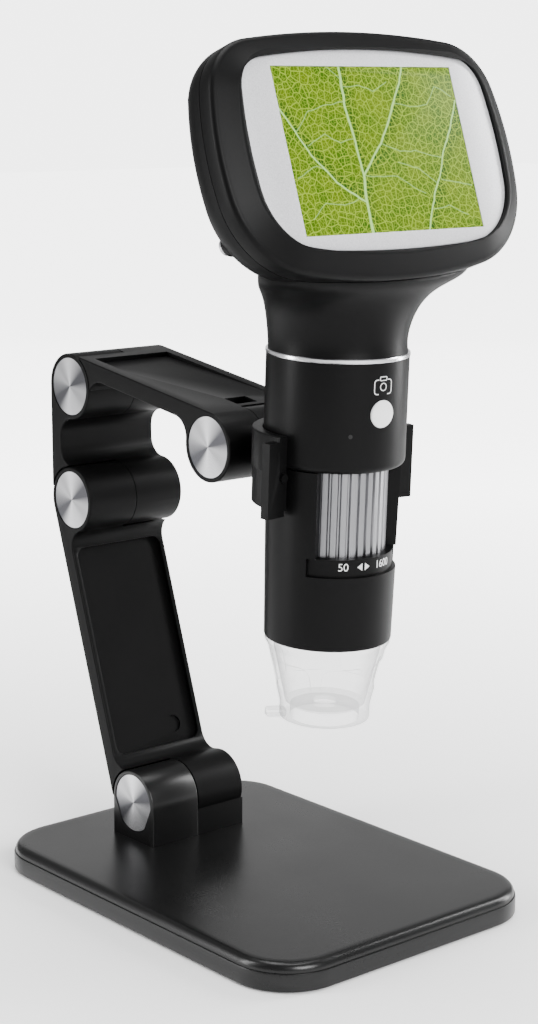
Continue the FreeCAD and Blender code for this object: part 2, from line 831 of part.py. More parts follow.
def make_clip():
    """Ring clip that holds the barrel from the rear, with a finger flange at each end of its mouth."""
    clip = new_body("clip_holder")
    inner = size("shell_radius") + size("clip_fit")
    outer = inner + size("clip_wall")
    step = size("clip_step")
    start = size("clip_mouth") / 2 - 90
    end = 180 - start
    upper = new_sketch(clip, "XY_Plane", sector(inner, outer, start, end), "0 - clip_drop")
    pad(clip, upper, "clip_height / 2")
    lower = new_sketch(clip, "XY_Plane", sector(inner - step, outer - step, start, end), "0 - clip_drop")
    pad(clip, lower, "clip_height / 2", reversed_way=True)
    round_level(clip, size("clip_height") / 2 - size("clip_drop"), "edge_round")
    foot = "0 - clip_drop - clip_height / 2 - flange_drop"
    for angle, inward in ((start, 1), (end, -1)):
        edges = flange_edges(angle, inward, inner + size("edge_round"), outer + size("flange_reach"))
        pad(clip, new_sketch(clip, "XY_Plane", edges, foot), "clip_height")
    end_turn = math.radians(end)
    middle = (inner + outer) / 2
    nub_foot = Vector(middle * math.cos(end_turn), middle * math.sin(end_turn), -size("clip_nub_down"))
    off_the_end = Vector(-math.sin(end_turn), math.cos(end_turn), 0)
    nub_base = nub_foot - off_the_end * size("edge_round")
    nub_turn = Rotation(AXIS_Z, off_the_end)
    cylinder_add(clip, "clip_nub_radius", "clip_nub_height + edge_round", nub_base, nub_turn)
    seam = size("clip_seam") + half_seam
    neck = Vector(seam, inner / 2, -size("clip_neck_height") / 2)
    neck_length = "clip_reach - ( shell_radius + clip_fit ) / 2"
    box_add(clip, "knuckle_width / 2 - clip_seam - seam_gap / 2", neck_length, "clip_neck_height", neck)
    hinge = Vector(seam, size("clip_reach"), 0)
    cylinder_add(clip, "knuckle_radius", "knuckle_width / 2 - clip_seam - seam_gap / 2", hinge, ALONG_X)
    parting = Vector(0, 0, -size("clip_drop"))
    cylinder_cut(clip, "shell_radius + clip_fit", "clip_height", parting)
    below = Vector(0, 0, -size("clip_drop") - size("clip_height"))
    cylinder_cut(clip, "shell_radius + clip_fit - clip_step", "clip_height", below)
    hinge_bores(clip, size("clip_reach"), 0, size("clip_seam"), 1)
    clip.Placement = scope_frame
    keep(clip)


def barrel_radius(height):
    """Outer radius of the lower barrel, which narrows evenly towards its foot."""
    top = size("shell_bottom")
    foot = size("barrel_foot")
    share = (height - foot) / (top - foot)
    return size("barrel_foot_radius") + share * (size("barrel_top_radius") - size("barrel_foot_radius"))


# Levels and radii in the barrel, measured along the tube from the hinge of the clip
bore = size("barrel_bore")
spigot = size("shell_radius") - size("shell_wall") - size("spigot_fit")
spigot_top = size("shell_bottom") + size("spigot_height")
wheel_top = size("wheel_foot") + size("wheel_height")
bulkhead_top = size("wheel_foot") - size("race_gap")
bulkhead_foot = bulkhead_top - size("bulkhead_thickness")
race_top = bulkhead_top + size("race_height")
guide = size("carriage_tube_radius") + size("running_fit")
race = guide + size("race_wall")
barrel_foot = size("barrel_foot")
led_board_foot = barrel_foot + size("led_board_up")
led_ledge_foot = led_board_foot + size("board_thickness")
ring_top = size("shell_top") + size("ring_height")
carriage_shoulder = size("carriage_top") - size("carriage_collar")
carriage_foot = carriage_shoulder - size("carriage_tube_length")


def make_barrel():
    """Upper shell, trim ring and lower barrel with its window, number band and bulkhead."""
    inner = size("shell_radius") - size("shell_wall")
    shell = turned("upper_shell", tube(inner, size("shell_radius"), size("shell_bottom"), size("shell_top")))
    round_ring(shell, size("shell_radius"), size("shell_bottom"), "shell_round")
    centre = Vector(0, 0, size("photo_button_height"))
    through = "shell_radius + shell_wall"
    cylinder_cut(shell, "photo_button_radius + button_fit", through, centre, aim(0))
    hole = Vector(0, 0, size("pinhole_height"))
    cylinder_cut(shell, "pinhole_radius", through, hole, aim(size("pinhole_turn")))
    shell.Placement = scope_frame

    ring_edge = size("shell_radius") + size("ring_proud")
    ring = turned("trim_ring", tube(inner, ring_edge, size("shell_top"), ring_top), scope_frame)

    edge = size("barrel_edge")
    ledge_top = led_ledge_foot + size("led_ledge")
    ledge_bore = size("led_ledge_bore")
    foot_radius = size("barrel_foot_radius")
    barrel = turned("lower_barrel", [
        (bore, barrel_foot),
        (foot_radius - edge, barrel_foot),
        (foot_radius, barrel_foot + edge),
        (size("barrel_top_radius"), size("shell_bottom")),
        (spigot, size("shell_bottom")),
        (spigot, spigot_top),
        (bore, spigot_top),
        (bore, bulkhead_top),
        (race, bulkhead_top),
        (race, race_top),
        (guide, race_top),
        (guide, bulkhead_foot),
        (bore, bulkhead_foot),
        (bore, ledge_top),
        (ledge_bore, ledge_top),
        (ledge_bore, led_ledge_foot),
        (bore, led_ledge_foot),
    ])
    half_angle = size("window_half_angle")
    opening = sector((bore + size("wheel_radius")) / 2, ring_edge, -90 - half_angle, -90 + half_angle)
    pocket(barrel, new_sketch(barrel, "XY_Plane", opening, "shell_bottom"), "shell_bottom - window_foot")
    half_angle = size("band_half_angle")
    floor_radius = barrel_radius(size("band_foot")) - size("band_depth")
    band = sector(floor_radius, ring_edge, -90 - half_angle, -90 + half_angle)
    pocket(barrel, new_sketch(barrel, "XY_Plane", band, "window_foot"), "window_foot - band_foot")
    barrel.Placement = scope_frame
    keep(shell, ring, barrel)


def make_focus():
    """Ribbed focus wheel, its retaining ring, and the lens carriage that it drives up and down."""
    wheel = new_body("focus_wheel")
    pitch = 360 / size("wheel_ribs")
    groove = size("wheel_groove_angle")
    radius = size("wheel_radius")
    floor_radius = radius - size("wheel_groove")
    outline = []
    for count in range(int(size("wheel_ribs"))):
        start = count * pitch
        for turn, reach in (
            (start, radius),
            (start + pitch - groove, radius),
            (start + pitch - groove, floor_radius),
            (start + pitch, floor_radius),
        ):
            outline.append((reach * math.cos(math.radians(turn)), reach * math.sin(math.radians(turn))))
    pad(wheel, new_sketch(wheel, "XY_Plane", polygon(outline), "wheel_foot"), "wheel_height")
    hub = "race_gap + retainer_thickness"
    cylinder_add(wheel, "retainer_bore - running_fit", hub, Vector(0, 0, wheel_top))
    foot = Vector(0, 0, size("wheel_foot"))
    cylinder_cut(wheel, "wheel_bore", "wheel_height + race_gap + retainer_thickness", foot)
    race_room = "carriage_tube_radius + 2 * running_fit + race_wall"
    cylinder_cut(wheel, race_room, "race_height", foot)
    wheel.Placement = scope_frame

    retainer_foot = wheel_top + size("race_gap")
    retainer_top = retainer_foot + size("retainer_thickness")
    ring = tube(size("retainer_bore"), bore - size("press_fit"), retainer_foot, retainer_top)
    retainer = turned("wheel_retainer", ring, scope_frame)

    seat = size("lens_radius") + size("press_fit")
    crown = size("lens_crown")
    seat_top = carriage_foot + size("lens_edge") + crown
    collar = size("wheel_bore") - size("running_fit")
    carriage = turned("lens_carriage", [
        (size("carriage_bore"), size("carriage_top")),
        (collar, size("carriage_top")),
        (collar, carriage_shoulder),
        (size("carriage_tube_radius"), carriage_shoulder),
        (size("carriage_tube_radius"), carriage_foot),
        (seat, carriage_foot),
        (seat, seat_top),
        (size("carriage_bore"), seat_top),
    ], scope_frame)

    dome = size("carriage_bore") - size("lens_clear")
    lens_foot = carriage_foot + crown
    steps = 4
    under = []
    over = []
    for count in range(steps):
        radius = dome * count / steps
        rise = crown * (1 - (radius / dome) ** 2)
        under.append((radius, lens_foot - rise))
        over.append((radius, seat_top + rise))
    profile = under + [
        (dome, lens_foot),
        (size("lens_radius"), lens_foot),
        (size("lens_radius"), seat_top),
        (dome, seat_top),
    ] + over[::-1]
    lens = turned("objective_lens", profile, scope_frame)
    keep(wheel, retainer, carriage, lens)


def make_barrel_electronics():
    """Image sensor, lamp board with its lamps, and the photo button with its switch."""
    thick = size("board_thickness")
    sensor = new_body("image_sensor_board")
    cylinder_add(sensor, "sensor_board_radius", "board_thickness", Vector(0, 0, spigot_top))
    half_sensor = size("sensor_side") / 2
    chip = Vector(-half_sensor, -half_sensor, spigot_top - size("sensor_height"))
    box_add(sensor, "sensor_side", "sensor_side", "sensor_height", chip)
    sensor.Placement = scope_frame

    plate = tube(size("led_board_bore"), size("led_board_radius"), led_board_foot, led_ledge_foot)
    led_board = turned("led_board", plate, scope_frame)
    lamp = new_body("led_single")
    half_led = size("led_side") / 2
    box_add(lamp, "led_side", "led_side", "led_height", Vector(-half_led, -half_led, 0))
    places = []
    for count in range(int(size("led_count"))):
        turn = Rotation(AXIS_Z, 360 * count / size("led_count"))
        centre = turn.multVec(Vector(size("led_circle"), 0, 0))
        centre.z = led_board_foot - size("led_height")
        places.append(Placement(centre, turn))
    leds = group_of("leds", lamp, places, scope_frame)

    crown = size("photo_button_crown")
    face = size("shell_radius") + size("photo_button_proud")
    back = face - crown - size("button_shank")
    at_button = scope_frame.multiply(Placement(Vector(0, 0, size("photo_button_height")), aim(0)))
    button = turned("photo_button", button_profile("photo_button_radius", back, face, crown), at_button)

    stem_tip = back - size("button_travel") - size("press_gap")
    switch_front = stem_tip - size("switch_stem")
    switch_back = switch_front - size("switch_body")
    half_side = size("switch_side") / 2
    switch = new_body("photo_switch")
    box_add(switch, "switch_side", "switch_side", "switch_body", Vector(-half_side, -half_side, switch_back))
    cylinder_add(switch, "switch_stem_radius", "switch_stem", Vector(0, 0, switch_front))
    switch.Placement = at_button
    half_board = size("switch_board_width") / 2
    corner = Vector(-half_board, -switch_back, spigot_top + thick)
    width, height = "switch_board_width", "switch_board_height"
    board = block("switch_board", width, "board_thickness", height, corner, scope_frame)
    keep(sensor, led_board, leds, button, switch, board)


def button_profile(radius_cell, back, face, crown):
    """A round push button: flange at the back, plain shank and a slightly domed face."""
    radius = size(radius_cell)
    flange = radius + size("button_flange")
    flange_front = back + size("button_flange_thickness")
    return [
        (0, back),
        (flange, back),
        (flange, flange_front),
        (radius, flange_front),
        (radius, face - crown),
        (radius * 3 / 4, face - crown * (3 / 4) ** 2),
        (radius / 2, face - crown / 4),
        (0, face),
    ]


def make_hood():
    """Clear hood that plugs into the foot of the barrel, with arched recesses and a thick foot ring."""
    wall = size("hood_wall")
    foot = barrel_foot - size("hood_height")
    plug = bore - size("running_fit")
    plug_top = barrel_foot + size("hood_plug")
    rim = size("hood_rim_radius")
    cone = size("hood_cone_radius")
    cone_top = barrel_foot - size("hood_cone_drop")
    foot_radius = size("hood_foot_radius")
    ring_level = foot + size("hood_foot_ring")
    edge = size("hood_foot_edge")
    floor_foot = foot + size("hood_floor_height")
    floor_top = floor_foot + size("hood_floor")
    hood = turned("hood_blank", [
        (foot_radius - 2 * wall, foot),
        (foot_radius - edge, foot),
        (foot_radius, foot + edge),
        (foot_radius, ring_level),
        (cone, cone_top),
        (rim, barrel_foot - size("hood_rim")),
        (rim, barrel_foot),
        (plug, barrel_foot),
        (plug, plug_top),
        (cone - wall, plug_top),
        (cone - wall, cone_top),
        (foot_radius - wall, floor_top),
        (size("hood_aperture"), floor_top),
        (size("hood_aperture"), floor_foot),
        (foot_radius - 2 * wall, floor_foot),
    ])
    tab = new_body("hood_tab")
    half_tab = size("hood_tab_width") / 2
    start = foot_radius - wall
    corner = Vector(-half_tab, edge, start)
    box_add(tab, "hood_tab_width", "hood_tab_thickness", "hood_wall + hood_tab_length", corner)
    tab.Placement = Placement(Vector(0, 0, foot), aim(size("hood_tab_angle")))

    depth = size("hood_recess_depth")
    skin = turned("hood_recess_skin", [
        (foot_radius - depth, ring_level),
        (rim, ring_level),
        (rim, cone_top),
        (cone - depth, cone_top),
    ])
    half_high = size("hood_recess_height") / 2
    middle = barrel_foot - size("hood_recess_drop") - half_high
    arch = rounded_rectangle(size("hood_recess_width") / 2, half_high, size("hood_recess_corner"))
    prism = new_body("hood_recess_single")
    pad(prism, new_sketch(prism, "XY_Plane", arch), "hood_rim_radius")
    pitch = 360 / size("hood_recesses")
    cuts = []
    for count in range(int(size("hood_recesses"))):
        one = prism.Shape.copy()
        one.Placement = Placement(Vector(0, 0, middle), aim(size("hood_recess_turn") + count * pitch))
        cuts.append(skin.Shape.common(one))
    recesses = doc.addObject("Part::Feature", "hood_recesses")
    recesses.Shape = Part.makeCompound(cuts)
    joined = doc.addObject("Part::Fuse", "hood_with_tab")
    joined.Base = hood
    joined.Tool = tab
    clear_hood = doc.addObject("Part::Cut", "clear_hood")
    clear_hood.Base = joined
    clear_hood.Tool = recesses
    clear_hood.Placement = scope_frame
    doc.recompute()
    keep(clear_hood)


def round_ring(body, radius, height, fillet_cell):
    """Round the full circle of a body's last feature that has the given radius and height."""
    feature = body.Tip
    names = []
    for number, edge in enumerate(feature.Shape.Edges, start=1):
        if edge.Curve.TypeId != "Part::GeomCircle":
            continue
        if abs(edge.Curve.Radius - radius) < 0.001 and abs(edge.Curve.Center.z - height) < 0.001:
            names.append("Edge%d" % number)
    fillet = body.newObject("PartDesign::Fillet", body.Name + "_round")
    fillet.Base = (feature, names)
    bind(fillet, Radius=cells(fillet_cell))
    doc.recompute()
    return fillet


def meeting_point(first, first_radius, second, second_radius, upward):
    """Where two circles meet, on the right-hand side; upward picks the upper or the lower one."""
    reach = math.hypot(second[0] - first[0], second[1] - first[1])
    along = (first_radius ** 2 - second_radius ** 2 + reach ** 2) / (2 * reach)
    aside = math.sqrt(first_radius ** 2 - along ** 2)
    unit = ((second[0] - first[0]) / reach, (second[1] - first[1]) / reach)
    found = []
    for side in (-aside, aside):
        found.append((
            first[0] + along * unit[0] - side * unit[1],
            first[1] + along * unit[1] + side * unit[0],
        ))
    return max(found, key=lambda point: point[0] + upward * point[1])


def bulged_outline(shape, inset=0.0):
    """A rounded rectangle whose four sides are shallow arcs that run smoothly into its corners.

    shape holds half width, half height, bulge of the sides, bulge of top and foot, corner radius at
    the top, corner radius at the foot and height of the middle. inset moves the whole line inwards.
    """
    wide, high, side_bulge, end_bulge, top_corner, foot_corner, centre_y = shape
    radii = {}
    for name, half_length, bulge in (
        ("top", wide - top_corner, end_bulge),
        ("foot", wide - foot_corner, end_bulge),
        ("side", high - (top_corner + foot_corner) / 2, side_bulge),
    ):
        radii[name] = (half_length ** 2 + bulge ** 2) / (2 * bulge)
    top = (0.0, high - radii["top"])
    foot = (0.0, radii["foot"] - high)
    side = (wide - radii["side"], 0.0)
    upper = meeting_point(top, radii["top"] - top_corner, side, radii["side"] - top_corner, 1)
    lower = meeting_point(foot, radii["foot"] - foot_corner, side, radii["side"] - foot_corner, -1)

    def bearing(centre, point):
        return math.degrees(math.atan2(point[1] - centre[1], point[0] - centre[0]))

    top_turn = bearing(top, upper)
    upper_side = bearing(side, upper)
    lower_side = bearing(side, lower)
    foot_turn = bearing(foot, lower)
    arcs = [
        (side, radii["side"], lower_side, upper_side),
        (upper, top_corner, upper_side, top_turn),
        (top, radii["top"], top_turn, 180 - top_turn),
        ((-upper[0], upper[1]), top_corner, 180 - top_turn, 180 - upper_side),
        ((-side[0], side[1]), radii["side"], 180 - upper_side, 180 - lower_side),
        ((-lower[0], lower[1]), foot_corner, 180 - lower_side, 180 - foot_turn),
        (foot, radii["foot"], -180 - foot_turn, foot_turn),
        (lower, foot_corner, foot_turn, lower_side),
    ]
    edges = []
    for centre, radius, start, end in arcs:
        edges.append(arc_about((centre[0], centre[1] + centre_y), radius - inset, start, end))
    return edges


head_shape = [size("head_" + word) for word in
              ("half_width", "half_height", "side_bulge", "top_bulge", "top_corner", "foot_corner")]
head_shape.append(-size("head_drop"))
panel_shape = [size("panel_" + word) for word in
               ("half_width", "half_height", "side_bulge", "top_bulge", "top_corner", "foot_corner")]
panel_shape.append(0.0)
head_top = size("head_half_height") - size("head_drop")
head_foot = -size("head_half_height") - size("head_drop")
screw_across = size("head_half_width") - size("housing_screw_from_side")
screw_levels = (head_top - size("housing_screw_from_top"), head_foot + size("housing_screw_from_foot"))
screw_places = [(side * screw_across, up) for side in (-1, 1) for up in screw_levels]
standoff_across = size("head_half_width") - size("standoff_from_side")
standoff_places = [(side * standoff_across, size("main_board_shift") + up) for side in (-1, 1)
                   for up in (size("standoff_up"), -size("standoff_up"))]
housing_back = size("bezel_depth") + size("housing_depth")
housing_floor = housing_back - size("housing_wall")
board_back = size("main_board_behind") + size("board_thickness")


def by_loft(body, kind, sketches, straight):
    """Add or cut the solid that runs through a row of closed sketches."""
    feature = body.newObject(kind, body.Name + "_loft")
    feature.Profile = sketches[0]
    feature.Sections = sketches[1:]
    feature.Ruled = straight
    doc.recompute()
    return feature


def make_front():
    """Bezel, silver panel and screen module."""
    bezel = new_body("front_bezel")
    edge = size("bezel_edge_round")
    half_way = 1 - math.cos(math.radians(45))
    stages = (
        (0, "0 - bezel_depth"),
        (0, "0 - bezel_edge - bezel_edge_round"),
        (edge * half_way, "0 - bezel_edge - bezel_edge_round * %s" % half_way),
        (edge, "0 - bezel_edge"),
        (size("bezel_rim"), "bezel_crown"),
    )
    rings = []
    for inset, level in stages:
        rings.append(new_sketch(bezel, "XY_Plane", bulged_outline(head_shape, inset), level))
    by_loft(bezel, "PartDesign::AdditiveLoft", rings, True)
    hollow = bulged_outline(head_shape, size("bezel_wall"))
    cavity = new_sketch(bezel, "XY_Plane", hollow, "0 - bezel_depth")
    pocket(bezel, cavity, "bezel_depth - bezel_ledge", reversed_way=True)
    seat = new_sketch(bezel, "XY_Plane", bulged_outline(panel_shape, -size("panel_fit")), "bezel_crown")
    pocket(bezel, seat, "bezel_crown + panel_thickness")
    half_lcd = Vector(size("lcd_width") / 2, size("lcd_height") / 2, 0)
    fit = size("panel_fit")
    window = Vector(-half_lcd.x - fit, -half_lcd.y - fit, 0)
    across, up = "lcd_width + 2 * panel_fit", "lcd_height + 2 * panel_fit"
    box_cut(bezel, across, up, "bezel_depth", window - Vector(0, 0, size("bezel_depth")))
    for x, y in screw_places:
        post = Vector(x, y, -size("bezel_depth"))
        cylinder_add(bezel, "standoff_radius", "bezel_depth - bezel_ledge", post)
        cylinder_cut(bezel, "housing_screw_radius + press_fit", "bezel_depth - bezel_ledge", post)
    bezel.Placement = screen_frame

    panel = new_body("screen_panel")
    outline = new_sketch(panel, "XY_Plane", bulged_outline(panel_shape), "0 - panel_thickness")
    pad(panel, outline, "panel_thickness")
    box_cut(panel, across, up, "panel_thickness", window - Vector(0, 0, size("panel_thickness")))
    panel.Placement = screen_frame

    frame_edge = size("lcd_frame")
    frame_corner = Vector(-half_lcd.x - frame_edge, -half_lcd.y - frame_edge, 0)
    frame_corner.z = -size("bezel_ledge") - size("lcd_thickness")
    lcd = new_body("lcd_module")
    box_add(lcd, "lcd_width + 2 * lcd_frame", "lcd_height + 2 * lcd_frame", "lcd_thickness", frame_corner)
    glass = Vector(-half_lcd.x, -half_lcd.y, -size("bezel_ledge"))
    box_add(lcd, "lcd_width", "lcd_height", "bezel_ledge - lcd_recess", glass)
    lcd.Placement = screen_frame
    keep(bezel, panel, lcd)


# How the neck opens towards the head: shares of its height, widening, thinning and forward sweep
NECK_FLARE = (
    (0.0, 0.0, 0.0, 0.0),
    (0.245, 0.036, 0.012, -0.022),
    (0.453, 0.189, 0.084, 0.087),
    (0.6, 0.393, 0.217, 0.272),
    (0.764, 0.772, 0.482, 0.728),
    (1.0, 1.0, 1.0, 1.0),
)


def make_rear_housing():
    """Rear half of the head, with the neck that flares up from the barrel."""
    housing = new_body("rear_housing")
    shell = new_sketch(housing, "XY_Plane", bulged_outline(head_shape), "0 - bezel_depth")
    slab = pad(housing, shell, "housing_depth", reversed_way=True)
    round_faces(housing, slab, [Vector(0, 0, -1)], "housing_round")

    to_screen = screen_place.inverse()
    neck = size("neck_radius")
    sections = []
    for up, wider, thinner, forward in NECK_FLARE:
        sections.append((
            ring_top + up * size("neck_height"),
            neck + wider * size("neck_widening"),
            neck - thinner * size("neck_thinning"),
            -forward * size("neck_forward"),
        ))
    rings = []
    for height, half_across, half_deep, centre_y in sections:
        ring = housing.newObject("Sketcher::SketchObject", "neck_section")
        ring.Placement = to_screen.multiply(Placement(Vector(0, centre_y, height), Rotation()))
        centre = Vector()
        if half_across > half_deep:
            oval = Part.Ellipse(Vector(half_across, 0, 0), Vector(0, half_deep, 0), centre)
        else:
            oval = Part.Circle(centre, AXIS_Z, half_across)
        ring.addGeometry([oval], False)
        rings.append(ring)
    by_loft(housing, "PartDesign::AdditiveLoft", rings, False)

    room = new_sketch(housing, "XY_Plane", bulged_outline(head_shape, -size("panel_fit")), "0 - bezel_depth")
    pocket(housing, room, "2 * bezel_depth", reversed_way=True)
    wall = size("housing_wall")
    corner = size("housing_round") - wall
    hollow = [new_sketch(housing, "XY_Plane", bulged_outline(head_shape, wall), "0 - bezel_depth")]
    floor = "0 - bezel_depth - housing_depth + housing_wall"
    for turn in (0, 30, 60, 90):
        inset = wall + corner * (1 - math.cos(math.radians(turn)))
        rise = 1 - math.sin(math.radians(turn))
        level = floor + " + %s * ( housing_round - housing_wall )" % rise
        hollow.append(new_sketch(housing, "XY_Plane", bulged_outline(head_shape, inset), level))
    by_loft(housing, "PartDesign::SubtractiveLoft", hollow, True)

    upright = to_screen.Rotation
    spigot_foot = to_screen.multVec(Vector(0, 0, ring_top - size("neck_spigot")))
    overlap = "neck_spigot + edge_round"
    cylinder_add(housing, "shell_radius - shell_wall - spigot_fit", overlap, spigot_foot, upright)
    cylinder_cut(housing, "neck_bore", "neck_spigot + neck_bore_depth", spigot_foot, upright)
    cable_foot = to_screen.multVec(Vector(0, -size("cable_forward"), ring_top))
    cylinder_cut(housing, "cable_bore", "cable_reach", cable_foot, upright)

    for x, y in standoff_places:
        foot = Vector(x, y, -housing_floor)
        cylinder_add(housing, "standoff_radius", "%s - %s" % (housing_floor, board_back), foot)
    for x, y in screw_places:
        outside = Vector(x, y, -housing_back)
        sunk = "housing_screw_sink + housing_screw_head"
        cylinder_add(housing, "standoff_radius", "housing_depth - housing_wall", Vector(x, y, -housing_floor))
        cylinder_cut(housing, "housing_screw_radius + cap_fit", "2 * housing_depth", outside)
        cylinder_cut(housing, "housing_screw_head_radius + cap_fit", sunk, outside)
    housing.Placement = screen_frame
    keep(housing)

    profile = [
        (0, 0),
        (size("housing_screw_head_radius"), 0),
        (size("housing_screw_head_radius"), size("housing_screw_head")),
        (size("housing_screw_radius"), size("housing_screw_head")),
        (size("housing_screw_radius"), size("housing_screw_length")),
        (0, size("housing_screw_length")),
    ]
    screw = turned("housing_screw_single", profile)
    level = size("housing_screw_sink") - housing_back
    places = [Placement(Vector(x, y, level), Rotation()) for x, y in screw_places]
    keep(group_of("housing_screws", screw, places, screen_frame))
    return housing


def round_level(body, level, radius):
    """Round the outer edges of the flat face that lies at one height of a body's last feature."""
    feature = body.Tip
    names = []
    for number, face in enumerate(feature.Shape.Faces, start=1):
        if face.Surface.TypeId != "Part::GeomPlane" or abs(face.normalAt(0, 0).z) < 0.999:
            continue
        if abs(face.BoundBox.ZMax - level) < 0.001:
            names.append("Face%d" % number)
    fillet = body.newObject("PartDesign::Fillet", body.Name + "_floor_round")
    fillet.Base = (feature, names)
    bind(fillet, Radius=cells(radius))
    doc.recompute()
    return fillet


def make_head_electronics(housing):
    """Main board with its tongue for the sockets, battery, sockets, power button and its switch."""
    board = new_body("main_board")
    post_side = "head_half_width - housing_screw_from_side - standoff_radius - main_board_gap"
    half_wide = screw_across - size("standoff_radius") - size("main_board_gap")
    half_high = size("main_board_height") / 2
    shift = size("main_board_shift")
    thick = size("board_thickness")
    corner = Vector(-half_wide, shift - half_high, -board_back)
    box_add(board, "2 * ( %s )" % post_side, "main_board_height", "board_thickness", corner)
    tongue = Vector(0, -size("card_socket_down") - size("card_socket_width") / 2, -board_back)
    tongue_height = "card_socket_down + card_socket_width / 2 + charge_socket_up + charge_socket_width / 2"
    tongue_reach = "head_half_width - housing_wall - main_board_tongue_gap"
    box_add(board, tongue_reach, tongue_height, "board_thickness", tongue)
    half_chip = size("chip_side") / 2
    chip = Vector(-half_chip, shift - half_chip, thick - board_back)
    box_add(board, "chip_side", "chip_side", "chip_height", chip)
    board.Placement = screen_frame

    battery_foot = size("battery_shift") - size("battery_height") / 2
    corner = Vector(-size("battery_width") / 2, battery_foot, -housing_floor)
    battery = block("battery", "battery_width", "battery_height", "battery_thickness", corner, screen_frame)
    keep(board, battery)

    mouth = size("head_half_width") - size("socket_inset")
    for name, up in (("charge_socket", size("charge_socket_up")), ("card_socket", -size("card_socket_down"))):
        length = size(name + "_length")
        wide = size(name + "_width")
        high = size(name + "_height")
        base = Vector(mouth - length, up - wide / 2, -board_back - high)
        socket = new_body(name)
        box_add(socket, name + "_length", name + "_width", name + "_height", base)
        wall = size("socket_wall")
        hollow = base + Vector(wall, wall, wall)
        inner_width, inner_height = name + "_width - 2 * socket_wall", name + "_height - 2 * socket_wall"
        box_cut(socket, name + "_length", inner_width, inner_height, hollow)
        socket.Placement = screen_frame
        keep(socket)
        fit = size("cap_fit")
        gap = Vector(size("head_half_width") - 2 * size("housing_wall"), base.y - fit, base.z - fit)
        wide_gap, high_gap = name + "_width + 2 * cap_fit", name + "_height + 2 * cap_fit"
        box_cut(housing, "4 * housing_wall", wide_gap, high_gap, gap)

    along = Rotation(AXIS_X, -90)
    across = size("power_button_across")
    level = -size("power_button_behind")
    face = head_top + size("power_button_proud")
    back = face - size("power_button_length")
    at_button = Placement(Vector(across, 0, level), along)
    cylinder_cut(housing, "power_button_radius + button_fit", "2 * housing_wall + power_button_length",
                 Vector(across, back, level), along)
    profile = button_profile("power_button_radius", back, face, size("photo_button_crown"))
    button = turned("power_button", profile, screen_frame.multiply(at_button))
    stem = back - size("button_travel") - size("press_gap")
    half_side = size("power_switch_side") / 2
    switch_level = -board_back - size("power_switch_height")
    switch_corner = Vector(across - half_side, stem - size("power_switch_length"), switch_level)
    width, length, height = "power_switch_side", "power_switch_length", "power_switch_height"
    switch = block("power_switch", width, length, height, switch_corner, screen_frame)
    keep(button, switch)


make_base()
make_lower_arm()
make_middle_link()
make_upper_arm()
make_hinges()
make_clip()
make_barrel()
make_focus()
make_barrel_electronics()
make_hood()
make_front()
make_head_electronics(make_rear_housing())

doc.recompute()
for thing in doc.Objects:
    if "Invalid" in thing.State or "Error" in thing.State:
        raise ValueError("%s is in state %s" % (thing.Label, thing.State))
os.makedirs("parts", exist_ok=True)
for part in nodes:
    if part.Shape.isNull() or not part.Shape.isValid() or not part.Shape.Solids:
        raise ValueError("%s has no valid solid" % part.Label)
    part.Shape.exportStep("parts/%s.step" % part.Label)
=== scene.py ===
import math

import bmesh
import bpy
import numpy as np
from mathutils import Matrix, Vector


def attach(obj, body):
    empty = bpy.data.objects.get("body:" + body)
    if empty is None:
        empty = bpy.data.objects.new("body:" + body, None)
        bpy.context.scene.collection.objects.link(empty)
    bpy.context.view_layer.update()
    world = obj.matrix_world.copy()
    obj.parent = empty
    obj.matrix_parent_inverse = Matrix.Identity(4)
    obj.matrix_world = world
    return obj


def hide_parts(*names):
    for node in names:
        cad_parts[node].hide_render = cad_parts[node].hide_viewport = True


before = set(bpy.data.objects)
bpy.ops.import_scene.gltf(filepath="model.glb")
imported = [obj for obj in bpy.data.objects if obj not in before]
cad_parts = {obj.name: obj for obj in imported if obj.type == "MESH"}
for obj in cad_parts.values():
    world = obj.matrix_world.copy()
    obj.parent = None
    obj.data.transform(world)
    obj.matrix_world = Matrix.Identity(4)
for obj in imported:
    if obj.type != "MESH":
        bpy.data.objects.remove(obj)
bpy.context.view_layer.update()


# White paper floor and backdrop under soft white light, seen from the left and a little above.
# The tall strip lights at both sides draw the long bright lines down the black barrel and arms.

MM = 0.001
CAMERA_PLACE = (-326.17, -390.23, 199.34)
CAMERA_LOOKS_DOWN, CAMERA_LOOKS_RIGHT = 11.33, 40.21
CAMERA_LENS, CAMERA_SENSOR = 74.16, 36.0
camera_data = bpy.data.cameras.new("camera")
camera = bpy.data.objects.new("camera", camera_data)
bpy.context.scene.collection.objects.link(camera)
camera.location = Vector(CAMERA_PLACE) * MM
camera.rotation_euler = (math.radians(90 - CAMERA_LOOKS_DOWN), 0, math.radians(-CAMERA_LOOKS_RIGHT))
camera_data.sensor_fit = "VERTICAL"
camera_data.sensor_height = CAMERA_SENSOR
camera_data.lens = CAMERA_LENS
camera_data.clip_start = 0.01
bpy.context.scene.camera = camera


def lamp(name, place, aim, wide, high, watts):
    """A soft box: a rectangular area light at one point, turned to face another, in millimetres."""
    data = bpy.data.lights.new(name, "AREA")
    data.shape = "RECTANGLE"
    data.size = wide * MM
    data.size_y = high * MM
    data.energy = watts
    light = bpy.data.objects.new(name, data)
    light.location = Vector(place) * MM
    towards = (Vector(aim) - Vector(place)).normalized()
    light.rotation_euler = towards.to_track_quat("-Z", "Y").to_euler()
    light.visible_camera = False
    bpy.context.scene.collection.objects.link(light)


